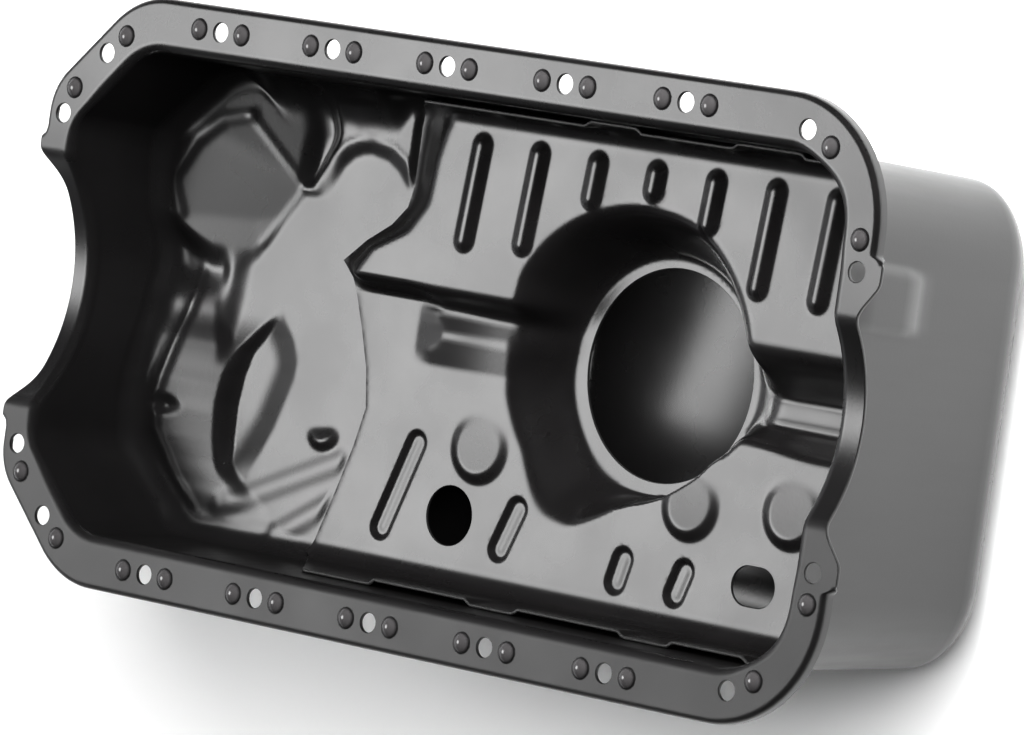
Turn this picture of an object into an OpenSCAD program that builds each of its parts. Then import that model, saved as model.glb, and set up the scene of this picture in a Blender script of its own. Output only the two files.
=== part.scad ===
// Engine oil pan: a deep-drawn sheet body with a spot-welded baffle plate and a drain plug.
// Millimetres. The origin lies on the gasket face, midway between the four corner bolts of
// the long rows. +Z points out of the open top, +X towards the sump end.

/* [Bolts] */
// Distance between neighbouring bolts of a long row
bolt_pitch = 55; // [50:0.5:58]
// Clearance hole for an M6 bolt
bolt_hole_d = 7; // [6:0.1:8]
// Distance of the long bolt rows from the bay wall
row_inset = 10.4; // [9:0.1:11.5]
// Distance of the sump end bolts from the end wall
sump_bolt_inset = 9; // [8:0.1:10]
// Half distance between the two sump end bolts
sump_bolt_y = 50.8; // [48:0.1:53]
// Half distance between the two shallow end bolts
nose_bolt_y = 61; // [58:0.1:63]

/* [Pan body] */
// Thickness of the pan's steel sheet
pan_t = 1.5; // [1:0.1:2]
// Width of the bay between its long walls, at the flange
bay_w = 176; // [168:1:184]
// Distance from the origin to the sump end wall
wall_right = 185; // [178:1:192]
// Distance from the origin to the shallow end wall
wall_left = 176; // [172:1:182]
// Flange width outside the long walls
flange_w = 19.8; // [18:0.1:22]
// Depth of the turned-down lip
lip_h = 5; // [3.5:0.1:8]
// Bend radius between flange and wall
bend_r = 4; // [3:0.1:5]
// Plan radius of the bay corners at the sump end
corner_r = 27; // [24:1:30]
// Depth of the shallow floor
floor_d = 52.5; // [48:0.5:58]
// Depth of the sump
sump_d = 125; // [110:1:140]
// Fillet radius round the shallow floor
floor_r = 8; // [6:0.5:10]
// Fillet radius round the sump floor
sump_r = 22; // [16:1:26]
// Where the step to the sump begins
step_x = -48; // [-54:1:-44]
// Length of the step
step_run = 28; // [24:1:32]
// Draft of the long walls in degrees
side_draft = 2; // [1:0.1:3]
// Draft of the sump end wall in degrees
end_draft = 4.5; // [3:0.1:6]

/* [Crank arches] */
// Height of the crankshaft axis above the gasket face
crank_h = 43; // [42:0.1:44]
// Radius of the arch at the shallow end
nose_arch_r = 63; // [61:0.5:64]
// Radius of the arch at the sump end
sump_arch_r = 55; // [54:0.5:56]

/* [Gasket domes] */
// Distance of a dome from its bolt
dome_pitch = 10.5; // [9:0.1:12]
// Diameter of a dome
dome_d = 7.4; // [6:0.1:8]
// Height of a dome above the flange
dome_h = 2; // [1.5:0.1:2.5]

/* [Baffle plate] */
// Thickness of the baffle sheet
baffle_t = 1.2; // [0.8:0.1:1.6]
// Depth of the upper deck
deck_d = 40; // [38:0.5:43]
// Height of the upper deck above the lower deck
deck_step = 11; // [8:0.5:13]
// Depth of the pick-up ring
ring_d = 66; // [62:0.5:72]
// Depth of the crank channel
channel_d = 60; // [56:0.5:64]
// Diameter of the pick-up hole
pickup_d = 75.6; // [70:0.5:78]
// Distance from the origin to the centre of the dish
dish_x = 64; // [60:1:68]
// Radius of the dish at its rim
dish_r = 54; // [50:1:58]
// Distance between neighbouring ribs
rib_pitch = 27.2; // [24:0.2:29]
// Height of the ribs above the upper deck
rib_h = 1.8; // [1:0.1:2.5]
// Depth of the upper edge of the side lips
lip_top_d = 17; // [12:0.5:22]

/* [Drain] */
// Distance from the origin to the drain
drain_x = 72; // [50:1:110]
// Height of the drain's axis above the fillet round the sump floor
drain_up = 15; // [14:1:30]
// Thread diameter of the plug
plug_d = 14; // [12:0.5:16]
// Width across the flats of the plug's head
plug_af = 17; // [15:0.5:19]
// Width across the flats of the weld nut
nut_af = 22; // [20:0.5:24]
// Thickness of the weld nut
nut_h = 9; // [7:0.5:11]
// Diameter of the plug's flange
plug_flange_d = 22; // [20:0.5:24]
// Thickness of the sealing washer
washer_t = 1.5; // [1:0.1:2.5]

/* [Hidden] */
$fn = 48;

// Clearances
seat_gap = 0.25; // baffle to the body round it
thread_gap = 0.1; // plug shank to the nut's bore, on the radius
plug_clear = 0.5; // plug shank to the wall's hole, on the radius
drain_d = sump_d - sump_r - drain_up;
cut_h = 40; // length of a cutter, well past both faces

// Bay outline: the line where the inner wall begins
wall_y = bay_w / 2;
nose_fillet = 22; // from the long wall to the chamfer
nose_corner = 12; // from the chamfer to the end wall
nose_chamfer_x = wall_left - 29.6; // where the chamfer meets the long wall
step_end = step_x + step_run;

// Flange outline, as distances outside the bay walls
ear_out = 19.6; // ears that carry the sump end bolts
corner_out = 15.5; // turned-down corner at the sump end
sump_arch_out = 11.4; // neck under the arch at the sump end
nose_out = 14.5; // turned-down corner at the shallow end
nose_ear_out = 16; // corner of the arch at the shallow end
nose_arch_out = 9.5; // neck under the arch at the shallow end
flange_corner_r = 44.5;

// Rows of the body's mesh, from the lip to the floor
wall_steps = [0.22, 0.5, 1];
fillet_steps = [30, 60, 90];
lip_r = 2.2;

// Swell of the end wall beside the sump arch
swell_y = 40;
swell_h = 3;

// Helpers
function clamp01(t) = min(1, max(0, t));
function smooth(t) = let(u = clamp01(t)) u * u * (3 - 2 * u);
function ramp(x, a, b) = smooth((x - a) / (b - a));
function mix(a, b, t) = a + (b - a) * t;
function bump(d) = abs(d) < 1 ? pow(cos(90 * d), 2) : 0;
function unit(v) = v / norm(v);
function flip_y(p) = [p[0], -p[1], p[2], -p[3]];
function soft_max0(f, k) = f >= k ? f : f <= -k ? 0 : pow(f + k, 2) / (4 * k);
function near_segment(p, a, b) =
    let(t = clamp01(((p - a) * (b - a)) / ((b - a) * (b - a)))) norm(p - a - (b - a) * t);

// Runs of outline points, each with its outward normal
function line_run(p, q, n) =
    let(d = unit(q - p)) [for (k = [0:n - 1]) concat(p + (q - p) * k / n, [d.y, -d.x])];
function arc_run(c, r, a0, a1, n) =
    [for (k = [0:n - 1]) let(a = mix(a0, a1, k / n))
        [c.x + r * cos(a), c.y + r * sin(a), cos(a), sin(a)]];

// Upper half of the bay outline, from the sump end to the shallow end
nose_x = wall_left;
fillet_tan = nose_fillet * tan(22.5);
corner_tan = nose_corner * tan(22.5);
chamfer_y = wall_y - (nose_x - nose_chamfer_x);
chamfer_a = [-nose_chamfer_x - fillet_tan * cos(45), wall_y - fillet_tan * sin(45)];
chamfer_b = [-nose_x + corner_tan * cos(45), chamfer_y + corner_tan * sin(45)];
end_break_y = 30; // stations lie closer together beyond this
bay_half = concat(
    line_run([wall_right, 0], [wall_right, end_break_y], 4),
    line_run([wall_right, end_break_y], [wall_right, wall_y - corner_r], 9),
    arc_run([wall_right - corner_r, wall_y - corner_r], corner_r, 0, 90, 8),
    line_run([wall_right - corner_r, wall_y], [step_end, wall_y], 9),
    line_run([step_end, wall_y], [step_x, wall_y], 6),
    line_run([step_x, wall_y], [-nose_chamfer_x + fillet_tan, wall_y], 11),
    arc_run([-nose_chamfer_x + fillet_tan, wall_y - nose_fillet], nose_fillet, 90, 135, 3),
    line_run(chamfer_a, chamfer_b, 4),
    arc_run([-nose_x + nose_corner, chamfer_y - corner_tan], nose_corner, 135, 180, 3),
    line_run([-nose_x, chamfer_y - corner_tan], [-nose_x, end_break_y], 7),
    line_run([-nose_x, end_break_y], [-nose_x, 0], 5));
half_n = len(bay_half);
bay = concat(bay_half, [[-nose_x, 0, -1, 0]],
    [for (k = [half_n - 1:-1:1]) flip_y(bay_half[k])]);
stations = len(bay);
side_n = 17; // stations from the middle of an end to its grid corner
grid_b = 2 * side_n;
grid_a = half_n - grid_b;

// Polygon with rounded corners, from corner points given as [x, y, radius]
function round_corner(a, b, c, n) =
    let(p = [b.x, b.y], u = unit([a.x, a.y] - p), v = unit([c.x, c.y] - p),
        half = acos(max(-1, min(1, u * v))) / 2, t = b[2] / tan(half),
        centre = p + unit(u + v) * b[2] / sin(half),
        s = p + u * t - centre, e = p + v * t - centre,
        a0 = atan2(s.y, s.x), da = atan2(s.x * e.y - s.y * e.x, s * e))
    [for (k = [0:n]) centre + b[2] * [cos(a0 + da * k / n), sin(a0 + da * k / n)]];
function round_path(pts, n) =
    [for (k = [1:len(pts) - 2]) each round_corner(pts[k - 1], pts[k], pts[k + 1], n)];

// Upper half of the flange's outer edge
flange_y = wall_y + flange_w;
flange_half = round_path([
    [wall_right + sump_arch_out, -10, 0],
    [wall_right + sump_arch_out, 36.5, 12],
    [wall_right + ear_out, 47, 6],
    [wall_right + ear_out, 55.4, 0.5],
    [wall_right + corner_out, 57, 0.8],
    [wall_right + corner_out, flange_y, flange_corner_r],
    [-nose_chamfer_x - 6.6, flange_y, 36],
    [-nose_x - nose_out, flange_y - 37.5, 22],
    [-nose_x - nose_out, 54.5, 1.5],
    [-nose_x - nose_ear_out, 51.5, 2.5],
    [-nose_x - nose_ear_out, 47, 8],
    [-nose_x - nose_arch_out, 36.5, 16],
    [-nose_x - nose_arch_out, -10, 0]], 5);
flange_edge = concat([[wall_right + sump_arch_out, 0]], flange_half, [[-nose_x - nose_arch_out, 0]]);

// Flange width at a station: from the bay outline straight out to the flange's edge
function hit(p, n, a, b) =
    let(e = b - a, den = n.x * e.y - n.y * e.x, w = a - p,
        t = den == 0 ? -1 : (w.x * e.y - w.y * e.x) / den,
        s = den == 0 ? -1 : (w.x * n.y - w.y * n.x) / den)
    s >= -0.001 && s <= 1.001 && t > 0 ? t : 1000;
function flange_out(q) =
    let(p = [q[0], abs(q[1])], n = [q[2], q[1] < 0 ? -q[3] : q[3]])
    min([for (k = [0:len(flange_edge) - 2]) hit(p, n, flange_edge[k], flange_edge[k + 1])]);

// Dip of the flange under the crankshaft
nose_chord = sqrt(pow(nose_arch_r, 2) - pow(crank_h, 2));
sump_chord = sqrt(pow(sump_arch_r, 2) - pow(crank_h, 2));
function arch(r, y) = abs(y) >= r ? 0 : soft_max0(sqrt(r * r - y * y) - crank_h, 2.5);
function dip(x, y) = x > 0 ? arch(sump_arch_r, y) : arch(nose_arch_r, y);
function dip_up(x, y) = unit([0, (dip(x, y + 0.5) - dip(x, y - 0.5)), 1]);

// Where the edge is turned down into a lip
function lip_part(q) =
    abs(q[0]) < wall_left - 20 ? 1
    : q[0] > 0 ? ramp(abs(q[1]), 54.6, 57) : ramp(abs(q[1]), 51.8, 54.4);

// Depth, fillet radius and inset of the wall's foot
function deep(x) = ramp(x, step_x, step_end);
function depth(x) = mix(floor_d, sump_d, deep(x));
function foot_r(x) = mix(floor_r, sump_r, deep(x));
function lean(draft, d, r) = tan(draft) * (d - r - bend_r);
nose_draft = 7;
function foot_in(x) = lean(side_draft, depth(x), foot_r(x)) + foot_r(x);
end_in = lean(end_draft, sump_d, sump_r) + sump_r;
nose_in = lean(nose_draft, floor_d, floor_r) + floor_r;
nose_swell = 8; // the shallow end wall leans in under the arch
function foot(q) =
    let(x = q[0],
        fx = x > step_end ? step_end + (x - step_end) * (1 - end_in / (wall_right - step_end))
           : x < step_x ? step_x + (x - step_x) * (1 - nose_in / (nose_x + step_x)) : x,
        swell = q[2] < -0.7 ? nose_swell * bump(q[1] / 44) : 0)
    [fx + swell, q[1] * (1 - foot_in(x) / wall_y)];

// Raised and sunk shapes of the shallow floor
terrace_h = 7;
facet_h = 9;
function facet(p) =
    let(c = [-139, 46], d = p - c,
        a = max([for (w = [25, 98, 163, 215, 275, 335])
            (d * [cos(w), sin(w)]) / (w == 25 ? 29 : w == 98 ? 27 : w == 163 ? 26 : w == 335 ? 22 : 25)]))
    facet_h * ramp(1 - a, 0, 0.55);
function terrace(p) = terrace_h * ramp(-p.x - 0.008 * pow(p.y + 36, 2), 116, 128) *
    ramp(p.y, -72, -52) * (1 - ramp(p.y, 2, 20));
function whale(p) = 2.5 * bump(near_segment(p, [-98, -16], [-110, -56]) / 9);
function small_boss(p) = 2.5 * ramp(7.5 - norm(p - [-81, -41]), 0, 4);
function shelf(p) = -3.5 * ramp(p.y, 56 + 8 * ramp(-p.x, 76, 96), 70) * ramp(-p.x, 40, 60) *
    (1 - ramp(-p.x, 104, 118));
function floor_shape(p) = max(facet(p), terrace(p)) + whale(p) + small_boss(p) + shelf(p);
function inside_floor(p) =
    ramp(wall_y - foot_in(p.x) - abs(p.y), 0, 7) * ramp(p.x + nose_x - nose_in, 0, 7) *
    (1 - deep(p.x)) *
    ramp(nose_x - nose_chamfer_x + nose_x + p.x + chamfer_y - abs(p.y) - 20, -28, -18);
function floor_z(x, y) =
    x > step_end ? -sump_d : -depth(x) + floor_shape([x, y]) * inside_floor([x, y]);
function floor_up(x, y) = unit([
    floor_z(x - 0.5, y) - floor_z(x + 0.5, y), floor_z(x, y - 0.5) - floor_z(x, y + 0.5), 1]);

// Swell on the outside of the sump end wall
function end_swell(q, z) =
    q[2] > 0.9 ? swell_h * bump((q[1] - swell_y) / 17) * ramp(z, -56, -38) : 0;

// One station's points on the inside of the sheet and their normals, lip first
function station(q) =
    let(w = [q[0], q[1]], n = [q[2], q[3]], out = flange_out(q), lip = lip_part(q),
        f = foot(q), a = dip(q[0], q[1]), up = dip_up(q[0], q[1]), n3 = [n.x, n.y, 0],
        edge = w + n * out, fr = foot_r(q[0]), d = depth(q[0]),
        leanin = mix(foot_in(q[0]), q[0] > 0 ? end_in : nose_in, n.x * n.x) - fr,
        wt = leanin / (leanin + fr), z0 = -a - bend_r, z1 = -(d - fr),
        fup = floor_up(f.x, f.y),
        lips = [
            [edge - n * 0, -a - lip * lip_h, n3, 1],
            [edge - n * mix(1.2, 0.3 * lip_r, lip), -a - lip * 0.3 * lip_r, n3 + [0, 0, 1], lip],
            [edge - n * mix(2.4, lip_r, lip), -a, up, 1]])
    concat(
        [for (r = lips) [[r[0].x, r[0].y, r[1]],
            unit(r[2] == n3 ? mix(up, n3, lip) : r[2] == up ? up : mix(up, unit(n3 + up), lip))]],
        [[[w.x + n.x * bend_r, w.y + n.y * bend_r, -a], up],
         [[w.x + n.x * 0.3 * bend_r, w.y + n.y * 0.3 * bend_r, -a - 0.3 * bend_r], unit(up - n3)],
         [[w.x, w.y, z0], -n3]],
        [for (s = wall_steps) let(g = wt * s, z = mix(z0, z1, s), p = mix(w, f, g) + n * end_swell(q, z))
            [[p.x, p.y, z], -n3]],
        [for (t = fillet_steps) let(g = wt + (1 - wt) * (1 - cos(t)), p = mix(w, f, g))
            [[p.x, p.y, z1 - fr * sin(t)], unit(-n3 * cos(t) + fup * sin(t))]]);

body_rows = [for (q = bay) station(q)];
row_n = len(body_rows[0]);
foot_ring = [for (r = body_rows) r[row_n - 1][0]];

// Inner grid of the floor, spanned between the foot points of the walls
function ring_at(i) = foot_ring[(i + 4 * stations) % stations];
function grid_point(u, v) =
    let(s = u / grid_a, t = v / grid_b, c1 = side_n,
        right = ring_at(v - side_n), left = ring_at(c1 + grid_a + grid_b - v),
        low = ring_at(-side_n - u), top = ring_at(c1 + u),
        p = mix(low, top, t)
            + (right - mix(ring_at(-side_n), ring_at(c1), t)) * pow(1 - s, 3)
            + (left - mix(ring_at(-side_n - grid_a), ring_at(c1 + grid_a), t)) * pow(s, 3))
    [p.x, p.y, floor_z(p.x, p.y)];
inner_grid = [for (u = [1:grid_a - 1]) for (v = [1:grid_b - 1]) grid_point(u, v)];

ring_count = stations * row_n;
skin_count = ring_count + len(inner_grid);
inner_skin = concat([for (j = [0:row_n - 1]) for (r = body_rows) r[j][0]], inner_grid);
skin_up = concat([for (j = [0:row_n - 1]) for (r = body_rows) r[j][1]],
    [for (p = inner_grid) floor_up(p.x, p.y)]);
outer_skin = [for (k = [0:skin_count - 1]) inner_skin[k] - skin_up[k] * pan_t];

function grid_index(u, v) =
    u == 0 ? ring_count - stations + (v - side_n + stations) % stations
    : v == grid_b ? ring_count - stations + (side_n + u) % stations
    : u == grid_a ? ring_count - stations + (side_n + grid_a + grid_b - v) % stations
    : v == 0 ? ring_count - stations + (2 * stations - side_n - u) % stations
    : ring_count + (u - 1) * (grid_b - 1) + v - 1;
function quad(a, b, c, d) = [[a, b, c], [a, c, d]];
function quad_on(pts, a, b, c, d) = // split along the diagonal that rises less
    abs(pts[a].z - pts[c].z) <= abs(pts[b].z - pts[d].z) + 0.01 ? quad(a, b, c, d) : quad(b, c, d, a);
function wrap(j, k) = j * stations + k % stations;
skin_faces = concat(
    [for (j = [0:row_n - 2]) for (k = [0:stations - 1])
        each quad(wrap(j, k), wrap(j, k + 1), wrap(j + 1, k + 1), wrap(j + 1, k))],
    [for (u = [0:grid_a - 1]) for (v = [0:grid_b - 1])
        each quad_on(inner_skin, grid_index(u, v), grid_index(u, v + 1),
            grid_index(u + 1, v + 1), grid_index(u + 1, v))]);

module body_sheet() {
    polyhedron(concat(inner_skin, outer_skin), concat(
        [for (f = skin_faces) [f[2], f[1], f[0]]],
        [for (f = skin_faces) [f[0] + skin_count, f[1] + skin_count, f[2] + skin_count]],
        [for (k = [0:stations - 1]) each quad(
            k, (k + 1) % stations, (k + 1) % stations + skin_count, k + skin_count)]), convexity = 10);
}

// Bolt places
row_y = wall_y + row_inset;
long_bolts = [for (s = [-1, 1]) for (k = [-2:2]) [k * bolt_pitch, s * row_y]];
sump_corner_bolts = [for (s = [-1, 1]) [wall_right - 20.5, s * (row_y - 3)]];
sump_bolts = [for (s = [-1, 1]) [wall_right + sump_bolt_inset, s * sump_bolt_y]];
nose_corner_bolts = [for (s = [-1, 1]) [-nose_x + 11.3, s * (row_y - 13.4)]];
nose_bolts = [for (s = [-1, 1]) [-nose_x - 6.5, s * nose_bolt_y]];
bolts = concat(long_bolts, sump_corner_bolts, sump_bolts, nose_corner_bolts, nose_bolts);

// A dome lies on each side of a long row's bolt and on the corner side of the others
function beside(p, a, d = dome_pitch) = p + d * [cos(a), sin(a) * sign(p.y)];
domes = concat(
    [for (p = long_bolts) for (a = [0, 180]) beside(p, a)],
    [for (p = sump_corner_bolts) beside(p, -24, dome_pitch + 1.5)],
    [for (p = sump_bolts) beside(p, 93, dome_pitch + 0.3)],
    [for (p = nose_corner_bolts) beside(p, 39, dome_pitch + 0.7)],
    [for (p = nose_bolts) beside(p, 67, dome_pitch + 0.1)]);

module dome() {
    r = (pow(dome_d / 2, 2) + dome_h * dome_h) / (2 * dome_h);
    rotate_extrude() intersection() {
        translate([0, dome_h - r]) circle(r);
        translate([0, -pan_t / 2]) square([dome_d, dome_h + pan_t]);
    }
}

// Drain: its frame has +Z along the plug, out of the sloping side wall
module at_drain() {
    y = wall_y - tan(side_draft) * (drain_d - bend_r);
    translate([drain_x, y, -drain_d]) rotate([-90 - side_draft, 0, 0]) children();
}

module pan_body() color([0.13, 0.13, 0.14]) difference() {
    union() {
        body_sheet();
        for (p = domes) translate([p.x, p.y, 0]) dome();
    }
    for (p = bolts) translate([p.x, p.y, -6]) cylinder(d = bolt_hole_d, h = 12);
    at_drain() translate([0, 0, -2 * pan_t]) cylinder(d = plug_d + 2 * plug_clear, h = 5 * pan_t);
}

module drain_nut() color([0.45, 0.45, 0.47]) at_drain() translate([0, 0, -nut_h]) difference() {
    cylinder(d = nut_af / cos(30), h = nut_h, $fn = 6);
    translate([0, 0, -1]) cylinder(d = plug_d + 2 * thread_gap, h = nut_h + 2);
}

module sealing_washer() color([0.72, 0.45, 0.3]) at_drain() translate([0, 0, pan_t]) difference() {
    cylinder(d = plug_flange_d, h = washer_t);
    translate([0, 0, -1]) cylinder(d = plug_d + 2 * plug_clear, h = washer_t + 2);
}

plug_flange_h = 3;
plug_head_h = 8;
module drain_plug() color([0.62, 0.62, 0.6]) at_drain() {
    seat = pan_t + washer_t;
    translate([0, 0, -nut_h - 2]) cylinder(d = plug_d, h = nut_h + 2 + seat + 1);
    translate([0, 0, seat]) cylinder(d = plug_flange_d, h = plug_flange_h);
    translate([0, 0, seat + plug_flange_h]) cylinder(d = plug_af / cos(30), h = plug_head_h, $fn = 6);
}

// Baffle plate
deck_low = deck_d + deck_step;
function plate_wall_y(z) = wall_y - tan(side_draft) * (-z - bend_r) - seat_gap - baffle_t;
baffle_y = plate_wall_y(-deck_low);
baffle_right = wall_right - tan(end_draft) * (channel_d - bend_r) - 4;
baffle_corner = corner_r - 3;
lip_in = 8; // width of the bend between a deck and its side lip

// Left edge of the plate, and the crease where the upper deck begins
edge_pts = [[-84, -79], [-60, -70.5], [-42, -64.7], [-28, -61.4], [-14, -63.9], [0, -68.7], [17, -75.4],
    [23.2, -82], [31.7, -72.2], [39, -61], [46, -54.6], [54, -52.8], [75, -53], [84, -52]];
crease_pts = [[-84, -62], [20, -62], [30, -57], [38, -41], [49, -33.3], [65, -31.6], [76, -28.5], [84, -24]];
function along(pts, y, k = 0) =
    k >= len(pts) - 2 || y < pts[k + 1].x
    ? mix(pts[k][1], pts[k + 1][1], clamp01((y - pts[k].x) / (pts[k + 1].x - pts[k].x)))
    : along(pts, y, k + 1);

// Step from the upper to the lower deck, and the crank channel beside it
function deck(x, y) =
    let(right = ramp(x, 20, 100), hi = mix(20, 12, right), lo = mix(14, 1, right),
        floor = mix(deck_low, channel_d, right), low = ramp(-y, 8.5, 14.5))
    y > lo ? mix(floor, deck_d, ramp(y, lo, hi)) : mix(floor, deck_low, low);

// Oil return holes and the pick-up hole's place in the dish
pickup_shift = 1.5;
return_x = -14.2;
return_y = 60.2;
return_d = 21.4;
slot_x = 128.2;
slot_y = 63.8;
slot_l = 19.2;
slot_w = 14;

// Rim of the dish: drawn wider at the lower left and closer in beside the channel
dish_y = 1;
function dish_at(a) = dish_r * (1 + 0.08 * bump((a - 38) / 40) + 0.12 * bump((a + 112) / 26)
    - 0.2 * bump((a + 55) / 36) - 0.04 * bump((abs(a) - 165) / 50));
ring_r = pickup_d / 2 + 4;
function dish(x, y) =
    let(d = [x - dish_x, y - dish_y])
    1 - ramp(norm(d), ring_r, max(ring_r + 5, dish_at(atan2(d.y, d.x)) + 1));

// Raised ribs of the upper deck and sunk grooves of the lower deck
rib_w = 5.4;
rib_x = -14.5;
rib_feet = [38, 38, 56, 62, 54, 37, 36];
ribs = [for (k = [0:6]) let(x = rib_x + k * rib_pitch) [[x + 0.5, wall_y - 15], [x - 0.8, rib_feet[k]]]];
grooves = [[[-33, -36.5], [-43.5, -68.5]], [[17, -53.5], [11, -68.5]],
    [[68.5, -63.5], [66.5, -71.5]], [[96.6, -63.5], [93.8, -71.8]]];
function crescent(p, c, r) =
    let(d = p - c, toward = (d * [-0.45, -0.89]) / r)
    3 * ramp(r - norm(d), 0, 4) * ramp(toward, -0.6, 0.7);
function baffle_shape(p) =
    rib_h * max([for (s = ribs) bump(near_segment(p, s[0], s[1]) / rib_w)])
    - 1.3 * max([for (s = grooves) bump(near_segment(p, s[0], s[1]) / rib_w)])
    + crescent(p, [-4.5, -33], 14.5) + crescent(p, [97.5, -42], 13.8) + crescent(p, [145, -36], 14);

// Height of the plate between its lips
function baffle_z(x, y) =
    let(yy = max(-baffle_y, min(baffle_y, y)), e = along(edge_pts, yy), c = along(crease_pts, yy),
        up = yy < 12 ? 1 : ramp(x, e, max(c, e + 6)),
        base = mix(deck_low, deck(x, yy), up), k = dish(x, yy),
        side = pow(clamp01((abs(yy) - baffle_y + lip_in) / lip_in), 2))
    -mix(base, ring_d, k) + baffle_shape([x, yy]) * (1 - k) * (1 - side) + 5 * side;

// The side lips stand off the wall and are joggled out to it at their weld tabs
lip_off = 1.8;
lip_slant = 0.85; // slope of the lips' left ends
low_tabs = [[-90, -33], [31, 50], [102, 121], [158, 190]];
top_tabs = [[55, 75], [122, 149], [168, 190]];
function tab(x, s) =
    max([for (t = s < 0 ? low_tabs : top_tabs) ramp(x, t[0] - 3, t[0]) * ramp(-x, -t[1] - 3, -t[1])]);

plate_cols = concat([for (k = [0:5]) [0, k / 6]], [for (x = [-21, each [for (k = [0:6])
    each [for (d = [-5.4, -2.7, 0, 2.7, 5.4, 13.6]) rib_x + k * rib_pitch + d]]]) [1, x]],
    [for (k = [1:4]) [2, k / 4]]);
plate_first = -21;
plate_last = rib_x + 6 * rib_pitch + 13.6;
plate_ys = [-83.6, -81, -77, -73, -69, -65, -61, -57, -53, -49, -45, -41, -37, -33, -28, -23, -18, -14.5,
    -11.5, -8.5, -4, 0.5, 4, 8, 11.5, 14, 17, 20, 24, 28, 33, 38, 43, 48, 53, 58, 63, 68, 73, 77, 81, 83.6];
y_scale = baffle_y / 83.6;
function baffle_end(y) =
    let(over = abs(y) - (baffle_y - baffle_corner))
    over < 0 ? baffle_right : baffle_right - baffle_corner + sqrt(max(0, pow(baffle_corner, 2) - over * over));
function plate_x(c, y) =
    c[0] == 0 ? mix(along(edge_pts, y), plate_first, c[1])
    : c[0] == 1 ? min(c[1], mix(plate_first, baffle_end(y), (c[1] - plate_first) / (plate_last - plate_first + 8)))
    : mix(plate_x([1, plate_last], y), baffle_end(y), c[1]);

function plate_point(c, y) = let(x = plate_x(c, y)) [x, y, baffle_z(x, y)];
function lip_point(c, s, t) =
    let(x0 = plate_x(c, s * baffle_y), z0 = baffle_z(x0, s * baffle_y), z = mix(z0, -lip_top_d, t),
        e = along(edge_pts, s * baffle_y), x = x0 + lip_slant * (z - z0) * clamp01((20 - x0) / (20 - e)))
    [x, s * (plate_wall_y(z) - lip_off * (1 - tab(x, s)) * t), z];
plate_skin = [for (c = plate_cols) concat(
    [for (t = [1, 0.5]) lip_point(c, -1, t)], [for (y = plate_ys) plate_point(c, y * y_scale)],
    [for (t = [0.5, 1]) lip_point(c, 1, t)])];

plate_rows = len(plate_skin[0]);
plate_n = len(plate_skin) * plate_rows;
function plate_at(i, j) =
    plate_skin[min(len(plate_skin) - 1, max(0, i))][min(plate_rows - 1, max(0, j))];
function plate_up(i, j) =
    unit(cross(plate_at(i + 1, j) - plate_at(i - 1, j), plate_at(i, j + 1) - plate_at(i, j - 1)));
plate_top = [for (c = plate_skin) each c];
plate_under = [for (i = [0:len(plate_skin) - 1]) for (j = [0:plate_rows - 1])
    plate_at(i, j) - plate_up(i, j) * baffle_t];
plate_quads = [for (i = [0:len(plate_skin) - 2]) for (j = [0:plate_rows - 2])
    each quad_on(plate_top, i * plate_rows + j, (i + 1) * plate_rows + j,
        (i + 1) * plate_rows + j + 1, i * plate_rows + j + 1)];
plate_loop = concat(
    [for (i = [0:len(plate_skin) - 2]) i * plate_rows],
    [for (j = [0:plate_rows - 2]) (len(plate_skin) - 1) * plate_rows + j],
    [for (i = [len(plate_skin) - 1:-1:1]) i * plate_rows + plate_rows - 1],
    [for (j = [plate_rows - 1:-1:1]) j]);

module plate_sheet() {
    m = len(plate_loop);
    polyhedron(concat(plate_top, plate_under), concat(
        [for (f = plate_quads) [f[2], f[1], f[0]]],
        [for (f = plate_quads) [f[0] + plate_n, f[1] + plate_n, f[2] + plate_n]],
        [for (k = [0:m - 1]) let(a = plate_loop[k], b = plate_loop[(k + 1) % m])
            each quad(a, b, b + plate_n, a + plate_n)]), convexity = 10);
}

module baffle_plate() color([0.16, 0.16, 0.17]) difference() {
    plate_sheet();
    translate([dish_x + pickup_shift, dish_y + 1, -ring_d - cut_h / 2])
        cylinder(d = pickup_d, h = cut_h, $fn = 96);
    translate([return_x, -return_y, -deck_low - cut_h / 2]) cylinder(d = return_d, h = cut_h);
    translate([slot_x, -slot_y, -deck_low - cut_h / 2]) {
        for (s = [-1, 1]) translate([s * (slot_l - slot_w) / 2, 0, 0]) cylinder(d = slot_w, h = cut_h);
        translate([(slot_w - slot_l) / 2, -slot_w / 2, 0]) cube([slot_l - slot_w, slot_w, cut_h]);
    }
}

pan_body();
baffle_plate();
drain_nut();
drain_plug();
sealing_washer();
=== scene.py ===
import math

import bpy
import numpy as np
from mathutils import Matrix, Vector
from mathutils.geometry import delaunay_2d_cdt


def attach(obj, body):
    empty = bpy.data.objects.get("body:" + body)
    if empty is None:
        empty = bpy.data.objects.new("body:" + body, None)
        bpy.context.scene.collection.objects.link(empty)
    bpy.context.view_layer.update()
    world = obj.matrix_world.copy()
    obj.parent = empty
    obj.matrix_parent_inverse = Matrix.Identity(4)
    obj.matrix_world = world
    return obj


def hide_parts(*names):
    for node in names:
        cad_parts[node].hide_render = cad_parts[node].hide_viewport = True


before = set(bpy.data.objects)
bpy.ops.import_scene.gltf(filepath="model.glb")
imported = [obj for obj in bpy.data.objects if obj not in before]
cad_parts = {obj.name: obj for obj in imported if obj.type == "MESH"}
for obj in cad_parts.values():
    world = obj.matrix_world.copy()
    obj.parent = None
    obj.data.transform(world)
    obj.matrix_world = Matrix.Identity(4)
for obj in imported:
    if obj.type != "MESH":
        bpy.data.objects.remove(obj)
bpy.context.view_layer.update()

# All shaping is done in millimetres, in the frame's own axes, and turned into metres at the end.
mm = 0.001


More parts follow.
